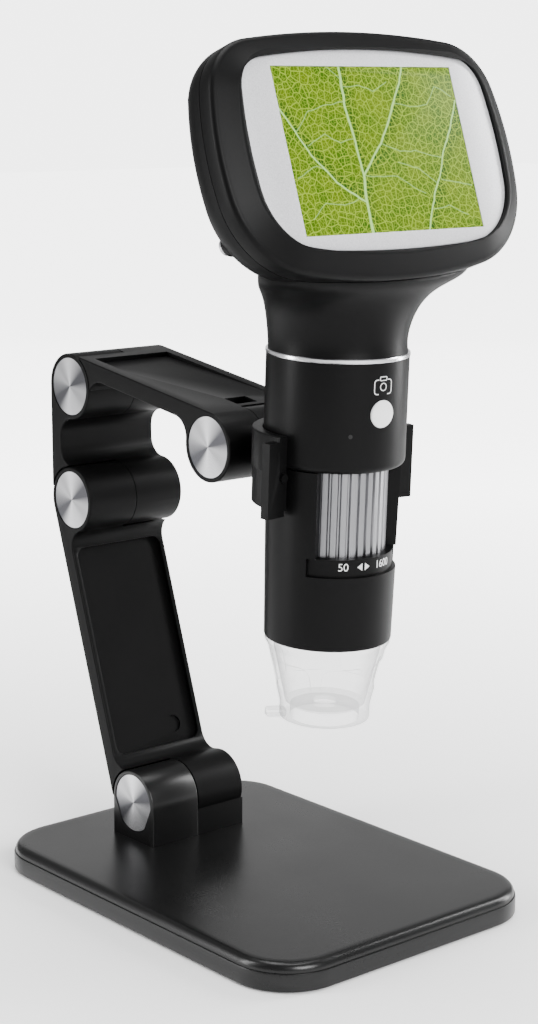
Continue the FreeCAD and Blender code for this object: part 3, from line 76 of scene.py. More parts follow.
lamp("front", (-150, -950, 560), (0, -40, 170), 520, 520, 16)
lamp("right_strip", (620, -200, 240), (0, -20, 120), 120, 700, 7)
lamp("left_strip", (-560, 300, 240), (0, 0, 110), 120, 700, 5)
lamp("overhead", (60, 60, 800), (0, 0, 60), 500, 500, 6)
lamp("far_glow", (760, 860, 300), (0, 0, 60), 1200, 420, 1.5)

ROOM_GLOW = 0.35
PAPER_GLOW = 4.5
GLOW_STARTS, GLOW_FULL = 0.05, 0.55
FLOOR_HALF = 4.0


class Wire:
    """A socket in a material's node tree. Python operators on it add Math nodes."""

    def __init__(self, tree, socket):
        self.tree = tree
        self.socket = socket

    def node(self, kind, sockets, output=0, **settings):
        """Add a node of a type with its settings, feed its sockets and return one of its outputs."""
        node = self.tree.nodes.new(kind)
        stops = settings.pop("stops", None)
        for name, value in settings.items():
            setattr(node, name, value)
        if stops:
            while len(node.color_ramp.elements) < len(stops):
                node.color_ramp.elements.new(0.5)
            for element, (position, colour) in zip(node.color_ramp.elements, stops):
                element.position = position
                element.color = colour
        for name, value in sockets.items():
            if isinstance(value, Wire):
                self.tree.links.new(value.socket, node.inputs[name])
            else:
                node.inputs[name].default_value = value
        return Wire(self.tree, node.outputs[output])

    def math(self, operation, *others):
        values = dict(enumerate((self,) + others))
        return self.node("ShaderNodeMath", values, operation=operation)

    def __add__(self, other):
        return self.math("ADD", other)

    __radd__ = __add__

    def __sub__(self, other):
        return self.math("SUBTRACT", other)

    def __rsub__(self, other):
        return self.math("MULTIPLY_ADD", -1.0, other)

    def __mul__(self, other):
        return self.math("MULTIPLY", other)

    __rmul__ = __mul__

    def __pow__(self, other):
        return self.math("POWER", other)

    def between(self, low, high):
        """0 below low, 1 above high and a straight ramp between them."""
        sockets = {"Value": self, "From Min": low, "From Max": high}
        return self.node("ShaderNodeMapRange", sockets)

    def blend(self, first, second):
        """A colour that runs from the first to the second as this wire goes from 0 to 1."""
        node = self.node("ShaderNodeMix", {"Factor": self}, output=2, data_type="RGBA")
        for index, value in ((6, first), (7, second)):
            target = node.socket.node.inputs[index]
            if isinstance(value, Wire):
                self.tree.links.new(value.socket, target)
            else:
                target.default_value = value
        return node


def finish(name, colour, roughness, **constants):
    """A Principled material; returns it with its shader node and a wire of object coordinates in metres."""
    material = bpy.data.materials.new(name)
    material.use_nodes = True
    tree = material.node_tree
    shader = tree.nodes["Principled BSDF"]
    shader.inputs["Base Color"].default_value = colour
    shader.inputs["Roughness"].default_value = roughness
    for socket, value in constants.items():
        shader.inputs[socket.replace("_", " ")].default_value = value
    coordinates = tree.nodes.new("ShaderNodeTexCoord")
    return material, shader, Wire(tree, coordinates.outputs["Object"])


def feed(shader, socket, wire):
    wire.tree.links.new(wire.socket, shader.inputs[socket])


def bump(shader, height, depth_mm, strength=1.0):
    """Let a height wire, 0 to 1, stand up by a depth in millimetres."""
    sockets = {"Height": height, "Strength": strength, "Distance": depth_mm * MM}
    feed(shader, "Normal", height.node("ShaderNodeBump", sockets))


world = bpy.data.worlds.new("paper_white")
bpy.context.scene.world = world
world.use_nodes = True
backdrop = world.node_tree.nodes["Background"]
backdrop.inputs["Color"].default_value = (1.0, 1.0, 1.0, 1.0)


def camera_ray(tree):
    """1 where the camera itself sees the surface, and 0 for the light that it throws on the object."""
    return Wire(tree, tree.nodes.new("ShaderNodeLightPath").outputs["Is Camera Ray"])


room = camera_ray(world.node_tree) * (PAPER_GLOW - ROOM_GLOW) + ROOM_GLOW
world.node_tree.links.new(room.socket, backdrop.inputs["Strength"])

paper, paper_shader, paper_place = finish("white_paper", (0.93, 0.93, 0.93, 1), 0.75,
                                          Specular_IOR_Level=0.1, Emission_Strength=PAPER_GLOW)
away = paper_place.node("ShaderNodeVectorMath", {0: paper_place}, "Value", operation="LENGTH")
paper_glow = camera_ray(paper.node_tree) * away.between(GLOW_STARTS, GLOW_FULL)
feed(paper_shader, "Emission Color", paper_glow.blend((0, 0, 0, 1), (1, 1, 1, 1)))
floor_data = bpy.data.meshes.new("floor")
floor_corners = [(-FLOOR_HALF, -FLOOR_HALF, 0), (FLOOR_HALF, -FLOOR_HALF, 0),
                 (FLOOR_HALF, FLOOR_HALF, 0), (-FLOOR_HALF, FLOOR_HALF, 0)]
floor_data.from_pydata(floor_corners, [], [(0, 1, 2, 3)])
floor_data.materials.append(paper)
floor = bpy.data.objects.new("floor", floor_data)
bpy.context.scene.collection.objects.link(floor)


# Two moulded halves in black satin plastic: a tray with upright walls and a cover with a rounded
# shoulder, parted by a fine line. The cover carries the block of the lowest hinge.

BASE_HALF = (42.25, 58.25)
BASE_CORNER = 15.0
TRAY_FOOT, TRAY_TOP, PLATEAU = 0.4, 4.9, 7.1
COVER_INSET = 0.35
COVER_SHOULDER = 1.9


def black_plastic(name, level, roughness, grain_mm=0.35, grain_depth=0.012, shine=0.09):
    """Moulded plastic: even colour, a fine spark-eroded grain and slightly uneven gloss."""
    colour = (level, level, level * 1.04, 1)
    material, shader, place = finish(name, colour, roughness, Specular_IOR_Level=shine)
    grain = place.node("ShaderNodeTexNoise", {"Vector": place, "Scale": 1000 / grain_mm, "Detail": 3.0})
    cloud = place.node("ShaderNodeTexNoise", {"Vector": place, "Scale": 45.0, "Detail": 2.0})
    feed(shader, "Roughness", (cloud - 0.5) * 0.10 + (grain - 0.5) * 0.10 + roughness)
    bump(shader, grain, grain_depth)
    return material


BLACK = 0.0025
base_plastic = black_plastic("base_plastic", BLACK, 0.30, shine=0.35)


def round_box_loop(half_wide, half_deep, corner, per_corner=14):
    """Points round a rectangle with quarter-circle corners, starting on the right and turning left."""
    turn = np.radians(np.linspace(0, 90, per_corner))
    points = []
    for quarter, (sx, sy) in enumerate(((1, 1), (-1, 1), (-1, -1), (1, -1))):
        angle = turn + math.radians(90 * quarter)
        x = sx * (half_wide - corner) + corner * np.cos(angle)
        y = sy * (half_deep - corner) + corner * np.sin(angle)
        points.append(np.stack([x, y], 1))
    return np.vstack(points)


def skin(name, rings, material, body, wrap=False, sharp=32.0):
    """One closed surface through rows of points: neighbours in a ring and in the next ring make quads.

    rings is an array of ring, point and x, y, z in millimetres. The end rings are closed flat, or
    with wrap the last ring joins the first. The faces are turned outwards by the sign of the volume.
    """
    rings = np.asarray(rings, float)
    count, around = rings.shape[:2]
    points = rings.reshape(-1, 3) * MM
    rows = count if wrap else count - 1
    ring = np.arange(rows)[:, None] * around
    following = ((np.arange(rows) + 1) % count)[:, None] * around
    here = np.arange(around)[None, :]
    nearby = (here + 1) % around
    quads = np.stack([ring + here, ring + nearby, following + nearby, following + here], -1).reshape(-1, 4)
    a, b, c, d = (points[quads[:, corner]] for corner in range(4))
    volume = np.sum(a * np.cross(b, c)) + np.sum(a * np.cross(c, d))
    faces = quads.tolist()
    if not wrap:
        first, last = np.arange(around), np.arange(around) + (count - 1) * around
        for cap in (first[::-1], last):
            middle = points[cap].mean(0)
            volume += np.sum(np.cross(points[cap], np.roll(points[cap], -1, 0)) @ middle)
            faces.append(cap.tolist())
    if volume < 0:
        faces = [face[::-1] for face in faces]
    data = bpy.data.meshes.new(name)
    data.from_pydata(points.tolist(), [], faces)
    data.polygons.foreach_set("use_smooth", np.ones(len(faces), bool))
    data.materials.append(material)
    data.update()
    data.set_sharp_from_angle(angle=math.radians(sharp))
    piece = bpy.data.objects.new(name, data)
    bpy.context.scene.collection.objects.link(piece)
    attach(piece, body)
    return piece


def slab(name, stages, material, body, half=BASE_HALF, corner=BASE_CORNER):
    """A rounded rectangle carried up through stages of inset and height."""
    rings = []
    for inset, height in stages:
        loop = round_box_loop(half[0] - inset, half[1] - inset, max(corner - inset, 0.5))
        rings.append(np.column_stack([loop, np.full(len(loop), height)]))
    return skin(name, rings, material, body)


def quarter(radius, inset, height, inwards, steps=6):
    """Stages of a quarter round that starts upright at an inset and height and ends lying inwards."""
    turn = np.radians(np.linspace(0, 90, steps))
    return [(inset + inwards * radius * (1 - math.cos(t)), height + radius * math.sin(t)) for t in turn]


tray_stages = [(6.0, TRAY_FOOT), (0.45, TRAY_FOOT), (0.12, TRAY_FOOT + 0.12), (0.0, TRAY_FOOT + 0.45)]
tray_stages += [(0.0, TRAY_TOP - 0.3), (0.08, TRAY_TOP - 0.08), (0.3, TRAY_TOP), (8.0, TRAY_TOP)]
tray = slab("tray", tray_stages, base_plastic, "base")
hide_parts("base_tray")

shoulder = quarter(COVER_SHOULDER, COVER_INSET, PLATEAU - COVER_SHOULDER, 1)
cover_stages = [(8.0, TRAY_TOP + 0.02), (COVER_INSET, TRAY_TOP + 0.02)] + shoulder
cover_stages += [(inset, PLATEAU) for inset in (3.5, 6.0, 10.0, 18.0, 30.0, 40.0)]
cover = slab("cover", cover_stages, base_plastic, "base")
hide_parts("base_cover")


# Injection-moulded black arms: plates on the outer side between half-width knuckles, which pair up
# along the seam of each hinge. Their edges are softly rounded and the hollow sides are ribbed.

KNUCKLE = 8.6
HALF_KNUCKLE = 15.0
HINGES = {
    "base_hinge": (32.85, 17.0),
    "lower_elbow": (58.221, 93.714),
    "upper_elbow": (58.221, 123.714),
    "clip_hinge": (0.873, 115.041),
}
EDGE_ROUND = 0.45
arm_plastic = black_plastic("arm_plastic", BLACK, 0.40)


def arc(centre, radius, start, end, steps):
    """Points on an arc in its own plane, from one angle to another in degrees."""
    turn = np.radians(np.linspace(start, end, steps))
    return np.stack([centre[0] + radius * np.cos(turn), centre[1] + radius * np.sin(turn)], 1)


def inset_loop(loop, distance):
    """Move every point of a left-turning loop inwards along the mean of its two edge normals."""
    ahead = np.roll(loop, -1, 0) - loop
    behind = loop - np.roll(loop, 1, 0)
    edges = [edge / np.linalg.norm(edge, axis=1)[:, None] for edge in (ahead, behind)]
    normal = np.stack([-(edges[0] + edges[1])[:, 1], (edges[0] + edges[1])[:, 0]], 1)
    length = np.linalg.norm(normal, axis=1)[:, None]
    return loop + normal / length * distance / np.maximum(length / 2, 0.5)


def prism(name, loop, low, high, material, body, radius=EDGE_ROUND, seat=None):
    """A side view, as points in Y and Z, carried along X with its end edges rounded.

    A seat is a round hole in the low end: its middle, radius and depth. Its ring takes each point
    of the outline to the circle along the line from the middle.
    """
    turns = np.radians(np.linspace(0, 90, 4))
    rings = [(radius * (1 - math.sin(t)), low + radius * (1 - math.cos(t))) for t in turns]
    rings += [(radius * (1 - math.cos(t)), high - radius * (1 - math.sin(t))) for t in turns]
    solid = []
    if seat:
        middle, reach, depth = seat
        spokes = loop - middle
        circle = middle + reach * spokes / np.linalg.norm(spokes, axis=1)[:, None]
        solid = [np.column_stack([np.full(len(loop), low + rise), circle]) for rise in (depth, 0.0)]
    for inset, x in rings:
        flat = inset_loop(loop, inset)
        solid.append(np.column_stack([np.full(len(flat), x), flat]))
    return skin(name, solid, material, body)


BLOCK_SINKS = 0.6
HALF_SEAM = 0.1
CRADLE_GAP = 0.4
DISC_SEAT_RADIUS, DISC_SEAT_DEPTH = 7.6, 1.1
block_y, block_z = HINGES["base_hinge"]
block_floor = PLATEAU - BLOCK_SINKS
block_foot = np.linspace((block_y - KNUCKLE, block_floor), (block_y + KNUCKLE, block_floor), 17)
post = np.vstack([block_foot, arc((block_y, block_z), KNUCKLE, 0, 180, 33)])
disc_seat = ((block_y, block_z), DISC_SEAT_RADIUS, DISC_SEAT_DEPTH)
prism("hinge_block_left", post, -HALF_KNUCKLE, -HALF_SEAM, base_plastic, "base",
      0.35, disc_seat)
cradle_radius = KNUCKLE + CRADLE_GAP
cradle_start = math.degrees(math.acos(KNUCKLE / cradle_radius))
cradle_arc = arc((block_y, block_z), cradle_radius, -cradle_start, cradle_start - 180, 21)
cradle = np.vstack([block_foot, cradle_arc])
prism("hinge_block_right", cradle, -HALF_SEAM, HALF_KNUCKLE, base_plastic, "base", 0.2)


def softened(node, material, body, edge, angle=32.0):
    """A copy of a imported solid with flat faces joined, smooth rounds and its sharp edges rounded off."""
    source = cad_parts[node]
    mesh = bmesh.new()
    mesh.from_mesh(source.data)
    bmesh.ops.remove_doubles(mesh, verts=mesh.verts, dist=2e-6)
    bmesh.ops.dissolve_limit(mesh, angle_limit=math.radians(0.6), verts=mesh.verts, edges=mesh.edges)
    data = bpy.data.meshes.new(node + "_soft")
    mesh.to_mesh(data)
    mesh.free()
    data.polygons.foreach_set("use_smooth", np.ones(len(data.polygons), bool))
    data.set_sharp_from_angle(angle=math.radians(angle))
    data.materials.clear()
    data.materials.append(material)
    data.polygons.foreach_set("material_index", np.zeros(len(data.polygons), np.int32))
    piece = bpy.data.objects.new(node + "_soft", data)
    bpy.context.scene.collection.objects.link(piece)
    rounding = piece.modifiers.new("rounding", "BEVEL")
    rounding.width = edge * MM
    rounding.segments = 2
    rounding.limit_method = "ANGLE"
    rounding.angle_limit = math.radians(angle)
    rounding.harden_normals = True
    rounding.use_clamp_overlap = True
    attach(piece, body)
    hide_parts(node)
    return piece


for link in ("lower_arm", "middle_link", "upper_arm"):
    softened(link, arm_plastic, link, 0.3)
softened("clip_holder", arm_plastic, "clip", 0.35)


# Thin spun-aluminium discs pressed into both ends of every hinge. The turning marks run in circles,
# so the real disc throws bright and dark fans from its middle; here these fans are painted reflection.

DISC_RADIUS = 7.5
DISC_THICK = 1.0
DISC_FACE = 14.85
discs = {
    "base_hinge_cap": ("base", [("base_hinge", -1)]),
    "lower_arm_hinge_caps": ("lower_arm", [("base_hinge", 1), ("lower_elbow", -1)]),
    "middle_link_hinge_caps": ("middle_link", [("lower_elbow", 1), ("upper_elbow", -1)]),
    "upper_arm_hinge_caps": ("upper_arm", [("upper_elbow", 1), ("clip_hinge", -1)]),
    "clip_hinge_cap": ("clip", [("clip_hinge", 1)]),
}


def spun_metal(name, centre):
    """Bright metal turned on a lathe: painted reflection, fans of light and shade about the middle put in
    the base colour, and fine round marks.

    The painted shade and highlight is a sum of waves of the angle about the centre, so it repeats every half
    turn, and the marks are waves of the distance from the centre with a little noise.
    """
    material, shader, place = finish(name, (0.6, 0.6, 0.62, 1), 0.3, Metallic=1.0)
    sockets = {"Vector": place, "Location": tuple(-value * MM for value in (0.0,) + centre)}
    local = place.node("ShaderNodeMapping", sockets, vector_type="POINT")
    axes = [local.node("ShaderNodeSeparateXYZ", {"Vector": local}, output=index) for index in (1, 2)]
    angle = axes[0].math("ARCTAN2", axes[1])
    reach = (axes[0] * axes[0] + axes[1] * axes[1]) ** 0.5
    # Painted reflection: bright and dark fans in the base colour stand in for the light that the turning
    # marks throw.
    painted_reflection_fans = (angle * 2.0 + 0.9).math("SINE") * 0.30 + (angle * 4.0 + 2.1).math("SINE") * 0.14
    painted_reflection_fans = painted_reflection_fans + (angle * 7.0 + 0.4).math("SINE") * 0.06 + 0.5
    rings = (reach * (2 * math.pi / (0.33 * MM))).math("SINE") * 0.5 + 0.5
    wander = place.node("ShaderNodeTexNoise", {"Vector": place, "Scale": 2500.0, "Detail": 1.0})
    painted_fans_and_turning_marks = painted_reflection_fans + (rings - 0.5) * 0.05 + (wander - 0.5) * 0.05
    # The base colour runs from dark to bright with the painted reflection fans, plus the real turning marks
    # and random tone.
    shade = painted_fans_and_turning_marks.between(0.15, 0.95).blend((0.10, 0.10, 0.11, 1), (0.90, 0.90, 0.92, 1))
    feed(shader, "Base Color", shade)
    feed(shader, "Roughness", rings * 0.08 + 0.26)
    bump(shader, rings, 0.01, 0.5)
    return material


def disc_profile(radius, thick, bevel=0.18, crown=0.05):
    """Radius and height from the foot's middle, round the bevelled edge, to the slightly proud middle."""
    return [(0.02, 0.0), (radius, 0.0), (radius, thick - bevel), (radius - bevel * 0.3, thick - bevel * 0.3),
            (radius - bevel, thick - crown), (radius - 2 * bevel, thick - crown), (0.02, thick - crown)]


def turned(name, profile, centre, axes, material, body, steps=72, wrap=False, sharp=32.0):
    """A profile of radius and height carried round an axis; axes are the two crossing directions and it."""
    profile = np.asarray(profile, float)
    turn = np.linspace(0, 2 * math.pi, steps, endpoint=False)
    across, up, along = (np.asarray(axis, float) for axis in axes)
    circle = np.cos(turn)[:, None] * across + np.sin(turn)[:, None] * up
    rings = np.asarray(centre) + profile[:, 0, None, None] * circle + profile[:, 1, None, None] * along
    return skin(name, rings, material, body, wrap, sharp)


for node, (body, places) in discs.items():
    for hinge, side in places:
        y, z = HINGES[hinge]
        end = hinge + ("_left" if side < 0 else "_right")
        metal = spun_metal("spun_metal_" + end, (y, z))
        foot = (side * (DISC_FACE - DISC_THICK), y, z)
        axes = ((0, 1, 0), (0, 0, 1), (side, 0, 0))
        profile = disc_profile(DISC_RADIUS, DISC_THICK)
        disc = turned("disc_" + end, profile, foot, axes, metal, body, 96)
        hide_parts(node)


# The barrel hangs in the clip, leaning slightly forward. Its upper shell has a rounded foot and the
# white photo button; the lower barrel narrows and is cut away in front to bare the focus wheel.

LEAN = math.radians(2.66)
SCOPE_ORIGIN = np.array([0.0, -27.896, 113.704])
RIGHT = np.array([1.0, 0.0, 0.0])
REAR = np.array([0.0, math.cos(LEAN), math.sin(LEAN)])
ALONG = np.array([0.0, -math.sin(LEAN), math.cos(LEAN)])
SCOPE_AXES = (RIGHT, REAR, ALONG)
SHELL_RADIUS, SHELL_FOOT, SHELL_TOP = 16.7, 0.3, 25.9
BARREL_TOP, BARREL_FOOT, BARREL_END = 16.0, 15.2, -42.1
BORE = 13.9
barrel_plastic = black_plastic("barrel_plastic", BLACK, 0.36, 0.28, 0.008)


def in_scope(points):
    """Turn points in the barrel's own frame, front being -Y and up +Z, into the object's frame."""
    points = np.asarray(points, float)
    right, rear, up = (points[..., index, None] for index in range(3))
    return SCOPE_ORIGIN + right * RIGHT + rear * REAR + up * ALONG


def on_barrel(radius, front_turn, height):
    """Points on the barrel from radius, angle in degrees from the front (right positive) and height."""
    turn = np.radians(front_turn)
    right, rear, up = np.broadcast_arrays(radius * np.sin(turn), -radius * np.cos(turn), height)
    return in_scope(np.stack([right, rear, up], -1))


SHELL_WALL = 1.8
FOOT_ROUND = 1.7
TOP_EDGE = 0.15
inner = SHELL_RADIUS - SHELL_WALL
shell_profile = [(inner, SHELL_FOOT + 0.1), (SHELL_RADIUS - FOOT_ROUND + 0.1, SHELL_FOOT)]
for t in np.radians((10, 30, 50, 70, 90)):
    inset, rise = FOOT_ROUND * (1 - math.sin(t)), FOOT_ROUND * (1 - math.cos(t))
    shell_profile.append((SHELL_RADIUS - inset, SHELL_FOOT + rise))
shell_profile += [(SHELL_RADIUS, SHELL_TOP - TOP_EDGE), (SHELL_RADIUS - TOP_EDGE, SHELL_TOP)]
shell_profile.append((inner, SHELL_TOP))
shell = turned("upper_shell_skin", shell_profile, SCOPE_ORIGIN, SCOPE_AXES, barrel_plastic,
               "scope", 128, True)
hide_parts("upper_shell")

silver, silver_shader, silver_place = finish("ring_silver", (0.74, 0.74, 0.76, 1), 0.22, Metallic=1.0)
swirl = silver_place.node("ShaderNodeTexNoise", {"Vector": silver_place, "Scale": 900.0, "Detail": 2.0})
feed(silver_shader, "Roughness", swirl * 0.12 + 0.16)
RING_HIGH, RING_PROUD, RING_BEVEL = 1.0, 0.15, 0.2
ring_profile = [(inner, SHELL_TOP), (SHELL_RADIUS, SHELL_TOP),
                (SHELL_RADIUS + RING_PROUD, SHELL_TOP + RING_BEVEL),
                (SHELL_RADIUS + RING_PROUD, SHELL_TOP + RING_HIGH - RING_BEVEL),
                (SHELL_RADIUS, SHELL_TOP + RING_HIGH), (inner, SHELL_TOP + RING_HIGH)]
ring = turned("silver_ring", ring_profile, SCOPE_ORIGIN, SCOPE_AXES, silver,
              "scope", 128, True)
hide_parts("trim_ring")


def steps_at(low, high, spacing, edges, sharpness=0.05):
    """Evenly spaced values, with a pair closely round each edge where the surface steps in or out."""
    plain = np.linspace(low, high, int(round((high - low) / spacing)) + 1)
    pairs = np.concatenate([[edge - sharpness, edge + sharpness] for edge in edges])
    far = np.min(np.abs(plain[:, None] - np.array(edges)[None, :]), axis=1) > 2 * sharpness
    return np.unique(np.concatenate([plain[far], pairs]))


WINDOW = (-55.0, 55.0, -20.0, 0.3)
BAND = (-63.0, 63.0, -24.2, -20.0)
BAND_FLOOR = 14.6
WINDOW_FLOOR = 11.2
turns = steps_at(-180.0, 177.0, 3.0, (WINDOW[0], WINDOW[1], BAND[0], BAND[1]))
heights = steps_at(BARREL_END + 0.5, SHELL_FOOT - 0.1, 2.0, (BAND[2], BAND[3]), 0.08)
turn_grid, height_grid = np.meshgrid(turns, heights)
share = (height_grid - BARREL_END) / (SHELL_FOOT - BARREL_END)
outer = BARREL_FOOT + share * (BARREL_TOP - BARREL_FOOT)


def inside(region):
    left, right, low, high = region
    return (turn_grid > left) & (turn_grid < right) & (height_grid > low) & (height_grid < high)


outer = np.where(inside(BAND), BAND_FLOOR, outer)
outer = np.where(inside(WINDOW), WINDOW_FLOOR, outer)
body_rings = on_barrel(outer, turn_grid, height_grid)


def plain_ring(radius, height):
    return on_barrel(np.full(len(turns), radius), turns, height)


BARREL_INSIDE = 10.0
BORE_TOP = -37.0
barrel_rings = [plain_ring(BARREL_INSIDE, SHELL_FOOT), plain_ring(WINDOW_FLOOR, SHELL_FOOT)]
top_edge = np.where((turns > WINDOW[0]) & (turns < WINDOW[1]), WINDOW_FLOOR, BARREL_TOP)
barrel_rings.append(on_barrel(top_edge, turns, SHELL_FOOT - 0.02))
barrel_rings += list(body_rings[::-1])
barrel_rings += [plain_ring(BARREL_FOOT, BARREL_END + 0.4), plain_ring(BARREL_FOOT - 0.1, BARREL_END + 0.12),
                 plain_ring(BARREL_FOOT - 0.4, BARREL_END), plain_ring(BORE, BARREL_END),
                 plain_ring(BORE, BORE_TOP), plain_ring(BARREL_INSIDE, BORE_TOP)]
barrel = skin("lower_barrel_skin", barrel_rings, barrel_plastic, "scope", wrap=True)
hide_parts("lower_barrel")


# A turned aluminium wheel with straight ribs milled all round, seen through the barrel's window.
# It turns by thumb and moves the lens up and down.

WHEEL_RADIUS, WHEEL_FOOT, WHEEL_TOP = 12.9, -20.9, 0.6
WHEEL_BORE, WHEEL_BEVEL = 9.0, 0.5
RIBS = 36
GROOVE_DEPTH = 0.55
wheel_metal, wheel_shader, wheel_place = finish("wheel_metal", (0.25, 0.25, 0.26, 1), 0.34, Metallic=1.0)
streaks = wheel_place.node("ShaderNodeMapping", {"Vector": wheel_place, "Scale": (1.0, 1.0, 0.05)})
milled = wheel_place.node("ShaderNodeTexNoise", {"Vector": streaks, "Scale": 3000.0, "Detail": 2.0})
feed(wheel_shader, "Roughness", milled * 0.2 + 0.24)
wheel_turns = np.linspace(-180, 180, RIBS * 14, endpoint=False)
phase = np.mod(wheel_turns, 360 / RIBS) / (360 / RIBS)
groove = np.clip(1 - np.abs(phase - 0.5) / 0.19, 0, 1)
groove = np.clip(groove * 2.2, 0, 1)
wheel_rings = [on_barrel(np.full(len(wheel_turns), WHEEL_BORE), wheel_turns, WHEEL_FOOT)]
for cut, height in ((WHEEL_BEVEL, WHEEL_FOOT), (0.0, WHEEL_FOOT + WHEEL_BEVEL),
                    (0.0, WHEEL_TOP - WHEEL_BEVEL), (WHEEL_BEVEL, WHEEL_TOP)):
    wheel_rings.append(on_barrel(WHEEL_RADIUS - cut - GROOVE_DEPTH * groove, wheel_turns, height))
wheel_rings.append(on_barrel(np.full(len(wheel_turns), WHEEL_BORE), wheel_turns, WHEEL_TOP))
wheel = skin("wheel_skin", wheel_rings, wheel_metal, "focus_wheel", wrap=True, sharp=25.0)
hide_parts("focus_wheel")


# A white gloss push button, with a small printed camera sign above it, a pinhole beside it, and
# plain numbers with two pointers printed below the wheel.

BUTTON_HEIGHT, BUTTON_RADIUS, BUTTON_FACE = 14.2, 3.2, 17.1
white, white_shader, white_place = finish("button_white", (0.84, 0.84, 0.84, 1), 0.18, Coat_Weight=0.4)
speck = white_place.node("ShaderNodeTexNoise", {"Vector": white_place, "Scale": 700.0, "Detail": 2.0})
feed(white_shader, "Roughness", speck * 0.06 + 0.16)
BUTTON_TURN = -3.0
BUTTON_INSIDE = 13.0
cosine, sine = math.cos(math.radians(BUTTON_TURN)), math.sin(math.radians(BUTTON_TURN))
button_axes = (cosine * RIGHT + sine * REAR, ALONG, -cosine * REAR + sine * RIGHT)
button_foot = SCOPE_ORIGIN + BUTTON_HEIGHT * ALONG
button_profile = [(0.02, BUTTON_INSIDE), (BUTTON_RADIUS, BUTTON_INSIDE), (BUTTON_RADIUS, BUTTON_FACE - 0.4),
                  (BUTTON_RADIUS - 0.15, BUTTON_FACE - 0.22), (BUTTON_RADIUS - 0.5, BUTTON_FACE - 0.12),
                  (BUTTON_RADIUS * 0.6, BUTTON_FACE - 0.03), (0.02, BUTTON_FACE)]
button = turned("photo_button_skin", button_profile, button_foot, button_axes, white,
                "photo_button", 64)
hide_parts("photo_button")

ink, ink_shader, ink_place = finish("pale_ink", (0.72, 0.72, 0.72, 1), 0.5)
print_grain = ink_place.node("ShaderNodeTexNoise", {"Vector": ink_place, "Scale": 4000.0, "Detail": 1.0})
feed(ink_shader, "Base Color", print_grain.blend((0.60, 0.60, 0.60, 1), (0.82, 0.82, 0.82, 1)))


INK_SINKS, INK_THICK = 0.02, 0.06


def printed_line(name, points, width, radius):
    """A flat closed printed line that follows points given as arc length and height on the barrel."""
    left = inset_loop(points, -width / 2)
    right = inset_loop(points, width / 2)
    rings = []
    for edge, lift in ((left, 0.0), (left, INK_THICK), (right, INK_THICK), (right, 0.0)):
        turn = np.degrees(edge[:, 0] / radius)
        rings.append(on_barrel(np.full(len(edge), radius - INK_SINKS + lift), turn, edge[:, 1]))
    return skin(name, rings, ink, "scope", wrap=True)


SIGN_PLACE = np.array((SHELL_RADIUS * math.radians(BUTTON_TURN), 20.45))
printed_line("camera_sign_body", round_box_loop(2.45, 1.65, 0.7, 6) + SIGN_PLACE, 0.2, SHELL_RADIUS)
printed_line("camera_sign_lens", arc(SIGN_PLACE, 0.85, 0, 345, 24), 0.18, SHELL_RADIUS)
hump = round_box_loop(0.95, 0.42, 0.2, 4) + SIGN_PLACE + (0, 1.9)
printed_line("camera_sign_top", hump, 0.18, SHELL_RADIUS)

# Painted shade: a flat dark matte plug on the shell stands in for the shadowed inside of the pinhole.
dark = finish("painted_pinhole_shade", (0.004, 0.004, 0.004, 1), 0.8)[0]
PINHOLE_TURN, PINHOLE_HEIGHT, PINHOLE_RADIUS = -30.0, 9.3, 0.5
spot = arc((0, 0), PINHOLE_RADIUS, 0, 337.5, 16)
hole_rings = []
for scale, lift in ((0.05, 0.03), (1.0, 0.03), (1.0, -0.2), (0.05, -0.2)):
    turn = PINHOLE_TURN + np.degrees(spot[:, 0] * scale / SHELL_RADIUS)
    height = PINHOLE_HEIGHT + spot[:, 1] * scale
    hole_rings.append(on_barrel(np.full(len(spot), SHELL_RADIUS + lift), turn, height))
skin("pinhole", hole_rings, dark, "scope", wrap=True)


def printed_word(name, word, size_mm, turn, height, radius):
    """Plain figures, cut from a flat font shape and laid on the barrel: across becomes arc length."""
    curve = bpy.data.curves.new(name + "_outline", "FONT")
    curve.body = word
    curve.size = size_mm
    curve.extrude = 0.03
    curve.align_x = "CENTER"
    curve.align_y = "CENTER"
    text = bpy.data.objects.new(name + "_outline", curve)
    bpy.context.scene.collection.objects.link(text)
    bpy.context.view_layer.update()
    data = bpy.data.meshes.new_from_object(text)
    bpy.data.objects.remove(text)
    co = np.empty(len(data.vertices) * 3)
    data.vertices.foreach_get("co", co)
    co = co.reshape(-1, 3)
    bent = on_barrel(radius + co[:, 2], turn + np.degrees(co[:, 0] / radius), height + co[:, 1]) * MM
    data.vertices.foreach_set("co", bent.ravel())
    data.materials.clear()
    data.materials.append(ink)
    data.update()
    piece = bpy.data.objects.new(name, data)
    bpy.context.scene.collection.objects.link(piece)
    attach(piece, "scope")


PRINT_HEIGHT, FIGURE_SIZE = -21.9, 2.6
printed_word("number_low", "50", FIGURE_SIZE, -30.0, PRINT_HEIGHT, BAND_FLOOR)
printed_word("number_high", "1600", FIGURE_SIZE, 14.0, PRINT_HEIGHT, BAND_FLOOR)


def pointer(name, turn, height, side):
    """A small printed triangle on the floor of the band, with its tip to the left or right."""
    corners = np.array([[-0.55 * side, -0.9], [0.75 * side, 0.0], [-0.55 * side, 0.9]])
    rings = []
    for lift, scale in ((0.0, 0.98), (0.05, 1.0)):
        edge = corners * scale
        around = turn + np.degrees(edge[:, 0] / BAND_FLOOR)
        rings.append(on_barrel(np.full(3, BAND_FLOOR + lift), around, height + edge[:, 1]))
    skin(name, rings, ink, "scope", sharp=20.0)


pointer("pointer_left", -13.5, PRINT_HEIGHT, -1)
pointer("pointer_right", -6.5, PRINT_HEIGHT, 1)


# Moulded in clear acrylic. It plugs into the barrel and spaces the lens from the specimen; six
# arched recesses run round its wall, and a small tab at the foot helps to pull it off.

